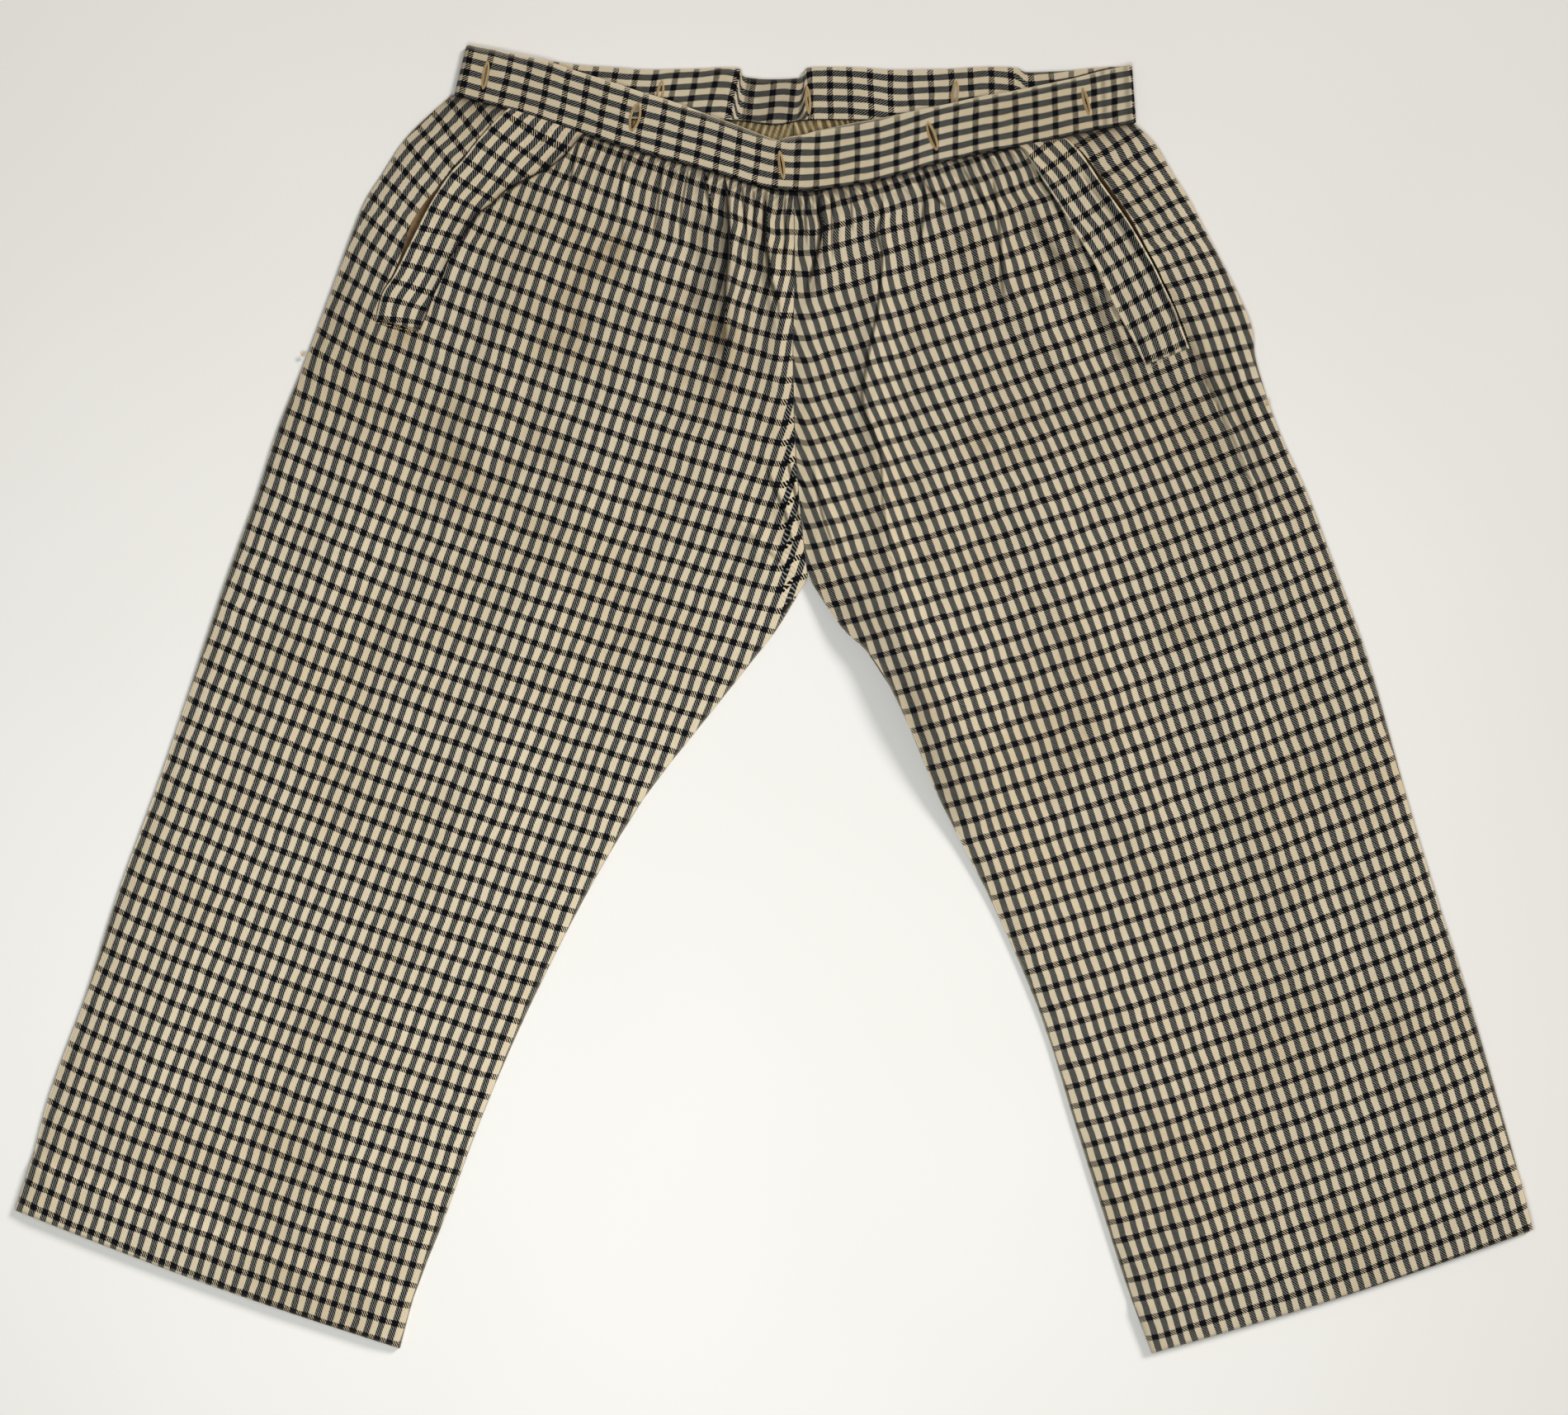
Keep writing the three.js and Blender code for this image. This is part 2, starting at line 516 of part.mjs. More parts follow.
// the band's ring: a doubled strip that runs along the front, folds, and returns along the back
function bandStations() {
  const curves = Object.fromEntries(Object.entries(BAND_EDGES).map(([k, p]) => [k, spline(p)]));
  const half = BAND_WALL / 2;
  const frontZ = (s) => BAND_REST + half + BAND_LIFT * smooth(Math.min(s, 1 - s) / 0.22);
  const turnZ = (BAND_REST + BAND_WALL) / 2;
  const turnRadius = BAND_REST / 2;
  const stations = [];
  const run = (top, bottom, s, z, up) => {
    const a = curves[top].getPointAt(s);
    const b = curves[bottom].getPointAt(s);
    stations.push({ a: [a.x, a.y, z], b: [b.x, b.y, z], normal: [0, 0, up] });
  };
  const turn = (s, out, angle) => {
    const a = curves.frontTop.getPointAt(s);
    const b = curves.frontBottom.getPointAt(s);
    const normal = [out * Math.cos(angle), 0, Math.sin(angle)];
    const [rx, rz] = [normal[0] * turnRadius, turnZ + normal[2] * turnRadius];
    stations.push({ a: [a.x + rx, a.y, rz], b: [b.x + rx, b.y, rz], normal });
  };
  const frontSteps = 38;
  const backSteps = 34;
  const turnSteps = 5;
  for (let i = 0; i <= frontSteps; i += 1) {
    run('frontTop', 'frontBottom', i / frontSteps, frontZ(i / frontSteps), 1);
  }
  for (let i = 1; i < turnSteps; i += 1) turn(1, 1, Math.PI * (0.5 - i / turnSteps));
  for (let i = backSteps; i >= 0; i -= 1) run('backTop', 'backBottom', i / backSteps, half, -1);
  for (let i = 1; i < turnSteps; i += 1) turn(0, -1, Math.PI * (-0.5 + i / turnSteps));
  return stations;
}

function waistband() {
  const points = [];
  const faces = [];
  const half = BAND_WALL / 2;
  const stations = bandStations();
  stations.forEach(({ a, b, normal }) => {
    const shift = (p, sign) => p.map((value, i) => value + sign * half * normal[i]);
    points.push(shift(a, 1), shift(b, 1), shift(b, -1), shift(a, -1));
  });
  stations.forEach((station, i) => {
    const j = (i + 1) % stations.length;
    for (let k = 0; k < 4; k += 1) {
      const m = (k + 1) % 4;
      faces.push([4 * i + k, 4 * i + m, 4 * j + k], [4 * i + m, 4 * j + m, 4 * j + k]);
    }
  });
  let ring = toSolid(closedGeometry(points, faces));
  const between = BAND_WALL + SEAM_GAP / 2;
  BUTTONHOLES.forEach(({ run, x, y, width }) => {
    const reach = BUTTONHOLE_LENGTH / 2;
    const hole = lens(x, y - reach, x, y + reach, width);
    const [bottom, top] = run === 'front' ? [between, CUT_TOP] : [-1, between];
    ring = ring.subtract(prism(hole, bottom, top));
  });
  return toGeometry(ring);
}

const garment = new THREE.Group();
function add(name, geometry, look) {
  const mesh = new THREE.Mesh(geometry, new THREE.MeshStandardMaterial(look));
  mesh.name = name;
  garment.add(mesh);
}

for (const side of Object.keys(sides)) {
  add(`back_leg_${side}`, backPanel(side), TWILL_BACK);
  add(`front_leg_${side}`, frontPanel(side), TWILL);
  add(`pocket_facing_${side}`, facingStrip(side), FACING_TAN);
  add(`pocket_welt_${side}`, weltStrip(side), WELT_TWILL);
}
add('waistband', waistband(), BAND_TWILL);

export default garment;
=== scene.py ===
# Dresses the cropped trousers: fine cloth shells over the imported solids, their check woven in nodes.
# The garment lies flat on its back, +Y from hems to waist, +Z up. Sizes below are in millimetres.
import math

import bpy
import numpy as np
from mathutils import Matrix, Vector


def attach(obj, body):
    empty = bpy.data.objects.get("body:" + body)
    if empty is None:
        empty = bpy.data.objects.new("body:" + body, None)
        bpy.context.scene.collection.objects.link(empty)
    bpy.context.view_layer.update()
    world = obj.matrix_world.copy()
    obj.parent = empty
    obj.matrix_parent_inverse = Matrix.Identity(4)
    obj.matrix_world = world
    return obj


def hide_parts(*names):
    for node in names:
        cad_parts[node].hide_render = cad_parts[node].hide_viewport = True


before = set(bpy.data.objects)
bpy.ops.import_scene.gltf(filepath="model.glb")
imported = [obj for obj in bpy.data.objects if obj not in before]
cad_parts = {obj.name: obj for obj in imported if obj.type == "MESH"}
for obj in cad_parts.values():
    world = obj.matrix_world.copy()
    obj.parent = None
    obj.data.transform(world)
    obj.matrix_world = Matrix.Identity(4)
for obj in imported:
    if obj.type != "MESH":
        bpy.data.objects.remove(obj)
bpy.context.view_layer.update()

MM = 0.001

# ---- driving sizes, as the solids have them ----
WALL = 1.5
HEM_WALL = 2.6
HEM_DEPTH = 30.0
SEAM_GAP = 0.3
BAND_WALL = 2.0
BAND_REST = BAND_WALL + SEAM_GAP
BAND_LIFT = 1.3
RISE = 222.0
LEG = 532.0
BASE_LOFT = 3.0
EDGE_ROLL = 8.0
FRONT_GATHER = 2.0
BACK_GATHER = 1.1
LIFT_HEIGHT = 12.0
LIFT_REACH = 45.0
LIFT_LENGTH = 72.0

CENTRE_SEAM = [(12, 307.5), (12.5, 258.5), (11.5, 203.5), (13.5, 143.5), (17, 103.5), (20.5, 73.5)]
SIDE_SEAM = {
    "left": [(-196, 363), (-214.5, 347.5), (-225.5, 335.5), (-237, 317.5), (-246, 303.5),
             (-254.5, 283.5), (-269, 243.5), (-284, 203.5), (-300, 163.5), (-313, 123.5),
             (-334.5, 63.5), (-367.5, -36.5), (-396.5, -116.5), (-415.5, -176.5),
             (-437.5, -236.5), (-448.5, -276.5), (-459, -309)],
    "right": [(218, 347.5), (230.5, 335.5), (241.5, 317.5), (250.5, 303.5), (261, 283.5),
              (281.5, 243.5), (289.5, 223.5), (292, 203.5), (305, 163.5), (323, 123.5),
              (338, 83.5), (359.5, 23.5), (382, -56.5), (400, -116.5), (419, -176.5),
              (442, -256.5), (453, -296.5), (459, -321)],
}
INSEAM = {
    "left": [(20.5, 73.5), (2.5, 43.5), (-13, 23.5), (-45, -16.5), (-76.5, -56.5), (-101.5, -96.5),
             (-123.5, -136.5), (-153, -196.5), (-178.5, -256.5), (-200.5, -316.5),
             (-216.5, -356.5), (-226.5, -392.5)],
    "right": [(20.5, 73.5), (40.5, 43.5), (60.5, 23.5), (81.5, -16.5), (98, -56.5), (118.5, -96.5),
              (138.5, -136.5), (163.5, -196.5), (182, -256.5), (201, -316.5),
              (214, -356.5), (228.5, -395.5)],
}
CROTCH_SHARE = {"left": 0.27, "right": 0.255}
HEM_SAG = 3.0
BAND_EDGES = {
    "frontTop": [(-184, 395.5), (-149, 388.5), (-119, 379.5), (-69, 363.5), (-34, 351), (-10, 342.3),
                 (2, 338), (5, 339), (19, 341.3), (26, 343.4), (56, 349.5), (106, 360), (156, 370),
                 (193.5, 378.5), (214.5, 383.5)],
    "frontBottom": [(-191.5, 365), (-149, 353.5), (-119, 343.5), (-89, 333.5), (-44, 321),
                    (6, 308), (56, 312.5), (106, 326), (156, 336), (191, 343.5), (217, 348.5)],
    "backTop": [(-184, 395.5), (-149, 388.5), (-119, 384), (-69, 381), (-24, 382), (-16.5, 376.5),
                (16, 376), (23.5, 382.5), (81, 381), (141, 382.5), (156, 379.5), (201, 382.5),
                (214.5, 383.5)],
    "backBottom": [(-191.5, 365), (-149, 357.5), (-119, 353), (-69, 350), (-24, 350), (1, 347.5),
                   (23.5, 350.5), (81, 350), (141, 351), (181, 350.5), (217, 348.5)],
}
GATHERS = {
    "left": {"from": 0.25, "count": 23, "seed": 3},
    "right": {"from": 0.34, "count": 22, "seed": 11},
}
GATHER_SHORTEST = 14.0
GATHER_LONGEST = 44.0
GATHER_END = 120.0
POCKET_SLITS = {"left": [(-169, 345), (-237, 235)], "right": [(178, 331.5), (250, 219)]}
POCKET_LOFT = 2.4
POCKET_SPREAD = 26.0
FACING_REACH = 13.0
FACING_DIP = 2.2
FACING_SPAN = (0.12, 0.9)
FACING_CLEARANCE = 0.8
FACING_THICKNESS = 0.7
NO_EDGE = 1e3                # where a seam joins cloth, its edge counts as this far off

# ---- the fine shells' own sizes ----
CLOTH = 2.0                  # wall
THINNEST = 0.4
EDGE_LIP = 0.5
ROUND_EDGE = 3.2
BACK_EDGE = 1.5
BACK_ROLL = 0.35
BACK_RUFFLE = 1.5
BACK_RUFFLE_REACH = 5.0
PUCKER_PITCH = 4.6
PUCKER_HEIGHT = 2.6
PUCKER_REACH = 9.0
SEAM_SINK = 0.85             # share of the height that the waist seam presses down
SEAM_SINK_REACH = 3.0
SEAM_SINK_HEIGHT = 2.6

# ---- folds: height, spread, line; the first ones are the solids', the finer creases follow ----
FOLDS = {
    "left": [
        (5.0, 8, [(-21, 300), (-27, 255), (-30, 205)]),
        (-1.6, 9, [(-42, 296), (-48, 240), (-52, 190)]),
        (3.4, 8, [(-2, 280), (4, 230), (2, 180)]),
        (3.6, 8, [(2, 128), (12, 104), (8, 84)]),
        (3.0, 9, [(-30, 118), (-8, 92), (-4, 62)]),
        (3.2, 15, [(-118, 325), (-160, 230), (-196, 130)]),
        (3.0, 18, [(-232, 190), (-275, 60), (-318, -60)]),
        (-1.8, 15, [(-200, 190), (-235, 60), (-270, -60)]),
        (3.2, 20, [(-95, 190), (-150, 30), (-205, -130)]),
        (-1.6, 18, [(-60, 150), (-110, 0), (-160, -110)]),
        (2.6, 18, [(-330, -90), (-372, -200), (-402, -300)]),
        (2.8, 20, [(-215, -160), (-262, -270), (-300, -370)]),
        (-1.4, 16, [(-262, -140), (-310, -250), (-345, -340)]),
    ],
    "right": [
        (5.2, 8, [(64, 300), (60, 190), (66, 113), (82, 23), (102, -50)]),
        (-1.8, 9, [(80, 300), (78, 190), (84, 100), (102, 10)]),
        (-2.4, 12, [(131, 308), (196, 238), (226, 188), (256, 148)]),
        (3.2, 12, [(108, 300), (160, 225), (196, 165)]),
        (-2.0, 10, [(268, 250), (283, 190), (300, 140), (331, 54)]),
        (2.8, 11, [(252, 195), (282, 140), (312, 54)]),
        (1.8, 12, [(201, 8), (184, -34), (166, -76)]),
        (3.2, 20, [(150, 150), (196, 10), (240, -130)]),
        (-1.6, 18, [(118, 130), (150, -10), (192, -130)]),
        (2.8, 20, [(250, 60), (300, -80), (345, -210)]),
        (2.6, 18, [(350, -60), (385, -190), (412, -300)]),
        (2.8, 18, [(210, -170), (246, -280), (268, -370)]),
        (-1.4, 16, [(256, -150), (300, -260), (330, -350)]),
        (2.6, 9, [(26, 128), (30, 100), (36, 66)]),
    ],
}
# sharp tucks and creases: height, spread to the steep side, spread to the soft side, cloth hidden, line
CREASES = {
    "left": [
        (4.6, 0.9, 5.0, 5.0, [(-29, 313), (-27.5, 303.5), (-26.5, 283.5), (-26.5, 268.5), (-27.5, 258.5),
                              (-29, 243.5), (-29, 213.5), (-33, 176)]),
        (2.2, 0.8, 2.6, 2.0, [(-41.5, 320), (-40.5, 312), (-38, 298.5), (-37, 286)]),
        (3.0, 0.8, 3.0, 3.5, [(-5, 309), (-4.5, 292.5), (-5, 278.5), (-3, 267.5), (-2, 253.5), (3, 240),
                              (5, 208)]),
        (1.8, 0.7, 2.0, 0.0, [(7.5, 307), (7, 293.5), (7.5, 278.5), (6.5, 268.5), (7.5, 256)]),
        (1.5, 0.7, 2.2, 1.0, [(-12, 308), (-11, 296), (-12, 282)]),
        (1.6, 0.8, 2.4, 0.0, [(-19, 311), (-17.5, 298), (-16, 282), (-17, 262)]),
        (1.4, 0.8, 2.6, 0.0, [(-51, 320), (-55, 298), (-57, 270)]),
        (2.2, 1.0, 3.6, 0.0, [(-113, 341), (-125, 328), (-135.5, 319), (-148, 313), (-161.5, 305),
                              (-168, 298.5), (-178, 291), (-184.5, 281.5), (-190.5, 270.5),
                              (-195, 264.5), (-199, 253.5), (-204, 243), (-208, 232.5)]),
        (1.6, 1.0, 3.0, 0.0, [(-117, 337), (-121, 318), (-124, 300)]),
        (1.4, 1.0, 3.0, 0.0, [(-90, 330), (-92, 305), (-95, 285)]),
        (1.4, 1.0, 2.8, 0.0, [(-66, 325), (-70, 292), (-73, 275)]),
        (2.0, 1.2, 3.0, 0.0, [(-4, 140), (8, 112), (14, 84)]),
        (1.8, 1.2, 3.0, 0.0, [(8, 150), (14, 124), (17, 96)]),
        (1.5, 1.4, 3.4, 0.0, [(-18, 104), (2, 86), (16, 74)]),
        (1.8, 1.1, 3.0, 0.0, [(-138, 343), (-139, 334), (-151, 328), (-162, 320)]),
    ],
    "right": [
        (2.2, 0.8, 3.0, 0.0, [(66, 311), (65.5, 291), (63, 281), (66, 271), (65.5, 258.5), (63, 233.5),
                              (57.5, 208.5), (53.5, 183.5), (56, 171), (65, 148.5), (66, 118), (81, 23),
                              (101, -56)]),
        (3.6, 0.8, 4.0, 3.5, [(27.5, 310), (28, 292.5), (29.5, 286), (28, 273.5), (25, 261), (21.5, 251),
                              (18, 238)]),
        (1.6, 0.7, 2.0, 0.0, [(16, 308), (16.5, 292.5), (17.5, 276)]),
        (1.8, 0.7, 2.2, 1.0, [(21, 308), (19.5, 292.5), (20.5, 272)]),
        (1.5, 0.7, 2.2, 0.0, [(35.5, 309), (35.5, 285), (36, 262)]),
        (1.4, 0.8, 2.4, 0.0, [(46, 311), (47.5, 296), (48, 280)]),
        (2.0, 1.1, 3.4, 0.0, [(91, 322), (92, 300), (89, 276), (90, 255)]),
        (2.0, 0.9, 2.6, 0.0, [(92, 311), (98, 304), (106, 296)]),
        (1.6, 1.0, 3.0, 0.0, [(114, 322), (124, 306), (133, 290)]),
        (2.0, 1.1, 3.2, 0.0, [(133, 318), (137, 285), (138, 255), (142, 225)]),
        (1.6, 0.9, 2.6, 0.0, [(150.5, 331), (161, 314.5), (172.5, 297), (183, 279.5), (193.5, 262),
                              (203.5, 241), (213.3, 223), (223, 203)]),
        (2.8, 3.4, 6.5, 0.0, [(150, 306), (168, 272), (181, 255), (194, 240), (204, 222), (216, 196),
                              (228, 172)]),
        (2.4, 1.4, 4.0, 0.0, [(186, 318), (204, 296), (226, 262), (246, 226), (262, 190)]),
        (2.2, 1.4, 4.0, 0.0, [(256, 206), (270, 176), (284, 142), (298, 104), (314, 56)]),
        (1.8, 1.4, 3.6, 0.0, [(272, 216), (286, 182), (298, 150)]),
        (1.6, 1.2, 3.2, 0.0, [(24, 140), (30, 112), (40, 84)]),
        (1.2, 2.0, 5.0, 0.0, [(201, 8), (184, -34), (166, -76)]),
    ],
}
GROOVE_DEPTH = 1.9           # at the foot of a crease's steep side
GROOVE_REACH = 0.8
DEEP_TUCK = 3.0              # a crease that hides more cloth than this has a wider groove
DEEP_TUCK_WIDENING = 1.9
FULL_GROOVE_HEIGHT = 2.6     # height from which a crease has its whole groove

BUTTONHOLE_LENGTH = 15.0
# run, place of the middle, how far it gapes, how far its top leans to the right
BUTTONHOLES = [
    ("front", -174.5, 377, 1.6, 3.0), ("front", -84, 351.5, 4.2, 4.0), ("front", 4.5, 322.5, 1.2, -2.6),
    ("front", 95.5, 340, 2.4, -5.6), ("front", 188.5, 361, 1.2, -4.4),
    ("back", -156, 373.5, 1.4, 1.0), ("back", -69, 366, 2.0, 2.6), ("back", 20.5, 362.5, 0.9, -1.5),
    ("back", 109.5, 366, 2.0, 1.8), ("back", 196, 366.5, 1.4, 0.0),
]

# ---- the check ----
STRIPE_REPEAT = 7.5          # between the long half-tone stripes
LINE_REPEAT = 12.25          # between the cross lines
STRIPE_SHARE = 0.55
LINE_SHARE = 0.33
TWILL_REPEAT = 1.16
TWILL_ANGLE = math.radians(38)


# ---- small helpers on arrays ----
def smooth(f):
    c = np.clip(f, 0.0, 1.0)
    return c * c * (3 - 2 * c)


def mix(a, b, f):
    return a + (b - a) * f


def hashed(n):
    s = np.sin(np.asarray(n, float) * 127.1 + 311.7) * 43758.5453
    return s - np.floor(s)


class Curve:
    """A smooth curve through points, read at a share of its length."""

    def __init__(self, points, per_span=60):
        p = np.array(points, float)
        ends = np.vstack([p[0], p, p[-1]])
        spans = []
        f = np.linspace(0, 1, per_span, endpoint=False)[:, None]
        for i in range(len(p) - 1):
            a, b, c, d = ends[i], ends[i + 1], ends[i + 2], ends[i + 3]
            v0, v1 = (c - a) / 2, (d - b) / 2
            spans.append((2 * b - 2 * c + v0 + v1) * f**3
                         + (-3 * b + 3 * c - 2 * v0 - v1) * f**2 + v0 * f + b)
        self.points = np.vstack(spans + [p[-1:]])
        steps = np.hypot(*np.diff(self.points, axis=0).T)
        self.length = steps.sum()
        self.share = np.concatenate([[0], np.cumsum(steps)]) / self.length

    def at(self, share):
        x = np.interp(share, self.share, self.points[:, 0])
        y = np.interp(share, self.share, self.points[:, 1])
        return x, y

    def y_at(self, x):
        return np.interp(x, self.points[:, 0], self.points[:, 1])


CENTRE = Curve(CENTRE_SEAM)
SIDE = {k: Curve(p) for k, p in SIDE_SEAM.items()}
INNER = {k: Curve(p) for k, p in INSEAM.items()}
BAND = {k: Curve(p) for k, p in BAND_EDGES.items()}
SIGN = {"left": -1.0, "right": 1.0}


def panel_point(side, layer, u, v):
    """u from the side seam to the centre or inseam, v from the waist (0) by the crotch (1) to the hem (2)."""
    share = CROTCH_SHARE[side]
    ox, oy = SIDE[side].at(np.where(v < 1, share * v, mix(share, 1, v - 1)))
    cx, cy = CENTRE.at(np.clip(v, 0, 1))
    lx, ly = INNER[side].at(np.clip(v - 1, 0, 1))
    ix = np.where(v < 1, cx, lx) + SIGN[side] * SEAM_GAP / 2 * (1 - smooth((v - 1) * 8))
    iy = np.where(v < 1, cy, ly)
    x = mix(ox, ix, u)
    y = mix(oy, iy, u)
    top = BAND["frontBottom" if layer == "front" else "backBottom"].y_at(x)
    lowered = np.maximum(0, 1 - v / 0.3)
    first = mix(SIDE_SEAM[side][0][1], CENTRE_SEAM[0][1], u)
    y = y + lowered * lowered * (top - SEAM_GAP - first)
    y = y - HEM_SAG * np.sin(np.pi * u) * smooth((v - 1.7) / 0.3)
    return x, y


def panel_width(side, v):
    x0, y0 = panel_point(side, "front", np.zeros_like(v), v)
    x1, y1 = panel_point(side, "front", np.ones_like(v), v)
    return np.hypot(x1 - x0, y1 - y0)


def near_line(line, x, y):
    """Distance to a bent line, share of the way along it, and which side of it (positive on its left)."""
    best = np.full(x.shape, np.inf)
    along = np.zeros(x.shape)
    turn = np.ones(x.shape)
    for i, ((ax, ay), (bx, by)) in enumerate(zip(line, line[1:])):
        length2 = (bx - ax) ** 2 + (by - ay) ** 2
        f = np.clip(((x - ax) * (bx - ax) + (y - ay) * (by - ay)) / length2, 0, 1)
        d = np.hypot(x - mix(ax, bx, f), y - mix(ay, by, f))
        cross = (bx - ax) * (y - ay) - (by - ay) * (x - ax)
        nearer = d < best
        best = np.where(nearer, d, best)
        along = np.where(nearer, (i + f) / (len(line) - 1), along)
        turn = np.where(nearer, np.where(cross >= 0, 1.0, -1.0), turn)
    return best, along, turn


def fold_height(fold, x, y):
    height, spread, line = fold
    d, along, _ = near_line(line, x, y)
    ends = smooth(along / 0.25) * smooth((1 - along) / 0.25)
    return height * np.exp(-((d / spread) ** 2)) * (0.15 + 0.85 * ends)


def crease_height(crease, x, y):
    """Height of a crease, steep on the side away from the light, and how far a point is in its foot."""
    height, steep, soft, hidden, line = crease
    d, along, turn = near_line(line, x, y)
    spread = np.where(turn < 0, steep, soft)
    ends = smooth(along / 0.2 + 0.25) * smooth((1 - along) / 0.35)
    reach = GROOVE_REACH * (DEEP_TUCK_WIDENING if hidden > DEEP_TUCK else 1.0)
    sharp = min(1.0, height / FULL_GROOVE_HEIGHT) * float(smooth((2.4 - steep) / 1.2))
    foot = np.exp(-(((d * turn + 1.1 * steep) / reach) ** 2)) * ends * sharp
    return height * np.exp(-((d / spread) ** 2)) * ends - GROOVE_DEPTH * foot, foot


def gather_crests(side):
    g = GATHERS[side]
    k = np.arange(g["count"] + 1)
    jitter = (hashed(g["seed"] + k) - 0.5) * 0.5
    jitter[0] = jitter[-1] = 0
    return (mix(g["from"], 1.0, (k + jitter) / g["count"]), 0.55 + 0.45 * hashed(g["seed"] * 7 + k),
            mix(GATHER_SHORTEST, GATHER_LONGEST, hashed(g["seed"] * 13 + k) ** 2))


def gather_height(side, u, down):
    crests, size, reach = gather_crests(side)
    k = np.clip(np.searchsorted(crests, u, side="right") - 1, 0, len(crests) - 2)
    f = np.clip((u - crests[k]) / (crests[k + 1] - crests[k]), 0, 1)
    crest = mix(size[k] * np.exp(-down / reach[k]), size[k + 1] * np.exp(-down / reach[k + 1]), f)
    wave = crest * (0.5 + 0.5 * np.cos(2 * np.pi * f)) * smooth((GATHER_END - down) / 60)
    return np.where((u > GATHERS[side]["from"]) & (down < GATHER_END), wave, 0.0)


def ground_lift(side, u, v, width):
    if side != "right":
        return np.zeros_like(u)
    inward = (1 - u) * width
    along = ((v - 1) * LEG - 95) / LIFT_LENGTH
    across = np.maximum(0, 1 - inward / LIFT_REACH) ** 2
    return np.where(v < 1, 0.0, LIFT_HEIGHT * across * np.exp(-(along**2)))


def wall_at(v):
    return mix(HEM_WALL, WALL, smooth(((2 - v) * LEG - HEM_DEPTH) / 4))


def front_top(side, u, v, x, y, fine=True, rolled=True):
    """Height of the front panel's outer face."""
    width = panel_width(side, v)
    lift = ground_lift(side, u, v, width)
    outward = u * width
    inward = np.where(v < 1, NO_EDGE, (1 - u) * width)
    edge = np.minimum(outward, inward)
    roll = 1 - np.exp(-((edge / EDGE_ROLL) ** 2)) if rolled else 1.0
    centre = np.where(v < 1, np.exp(-(((1 - u) * width / 6) ** 2)), 0)
    base = BACK_GATHER * smooth((u - GATHERS[side]["from"] + 0.05) / 0.05)
    down = v * RISE
    loft = BASE_LOFT * (1 - 0.6 * centre) * mix(0.5, 1, smooth(down / 30))
    for fold in FOLDS[side]:
        loft = loft + fold_height(fold, x, y)
    d, _, _ = near_line(POCKET_SLITS[side], x, y)
    loft = loft + POCKET_LOFT * np.exp(-((d / POCKET_SPREAD) ** 2))
    if fine:
        for crease in CREASES[side]:
            loft = loft + crease_height(crease, x, y)[0]
    hem = (2 - v) * LEG
    loft = np.maximum(0.2, loft) * mix(1, 0.55, smooth((60 - hem) / 60)) * roll
    clear = 0.6 * (lift / LIFT_HEIGHT) * (1 - np.exp(-edge / 5))
    gathers = FRONT_GATHER * gather_height(side, u, down)
    return lift + 2 * wall_at(v) + SEAM_GAP + clear + loft + gathers + base * np.exp(-down / 30)


def back_top(side, u, v):
    gathers = BACK_GATHER * gather_height(side, u, v * RISE * 2)
    return ground_lift(side, u, v, panel_width(side, v)) + gathers + wall_at(v)


def pucker_wave(side, u, v):
    """Crests of the short uneven wrinkles just under the waist seam, finer than the gathers."""
    along = u * panel_width(side, v) + GATHERS[side]["seed"] * 17.0
    wobble = 2.1 * np.sin(along / 9.7) + 1.3 * np.sin(along / 5.3 + 1.0)
    size = 0.62 + 0.38 * np.sin(along / 6.1 + 0.4) * np.sin(along / 14.3)
    start = smooth((u - GATHERS[side]["from"] + 0.12) / 0.12)
    return np.maximum(0, np.sin(2 * np.pi * (along + wobble) / PUCKER_PITCH)) ** 1.4 * size * start


def pucker(side, u, v):
    """Height of the wrinkles, which die out down the panel at uneven places."""
    along = u * panel_width(side, v)
    reach = PUCKER_REACH * (1 + 0.6 * np.sin(along / 4.7) * np.sin(along / 11.0 + 1.3))
    return PUCKER_HEIGHT * pucker_wave(side, u, v) * np.exp(-v * RISE / reach)


def rounded(distance, radius):
    """From 0 at an edge to 1 a radius in, as a quarter circle."""
    return np.sqrt(1 - (1 - np.clip(distance / radius, 0, 1)) ** 2)


def edge_distance(side, u, v):
    width = panel_width(side, v)
    inward = np.where(v < 1, NO_EDGE, (1 - u) * width)
    return np.minimum(np.minimum(u * width, inward), (2 - v) * LEG)


def shell(side, layer, u, v):
    """Place, outer and inner height of a fine shell, rolled over where the layers are seamed."""
    x, y = panel_point(side, layer, u, v)
    edge = edge_distance(side, u, v)
    if layer == "back":
        roll = BACK_ROLL * (1 - rounded(edge, BACK_EDGE))
        low = ground_lift(side, u, v, panel_width(side, v))
        ruffle = BACK_RUFFLE * pucker_wave(side, u, v) * np.exp(-v * RISE / BACK_RUFFLE_REACH)
        ruffle = ruffle * smooth((u - 0.45) / 0.15) * smooth(v * RISE / 1.2)
        return x, y, back_top(side, u, v) + ruffle - roll, low + roll
    under = back_top(side, u, v) + SEAM_GAP
    lip = under + EDGE_LIP
    fine = lip + (front_top(side, u, v, x, y) - lip) * rounded(edge, ROUND_EDGE) + pucker(side, u, v)
    soft = lip + (front_top(side, u, v, x, y, fine=False) - lip) * rounded(edge, ROUND_EDGE)
    sink = SEAM_SINK * np.exp(-((v * RISE / SEAM_SINK_REACH) ** 2))
    top = mix(fine, np.minimum(fine, SEAM_SINK_HEIGHT), sink)
    low = np.maximum(np.minimum(soft, top) - CLOTH, under)
    return x, y, np.maximum(top, low + THINNEST), low


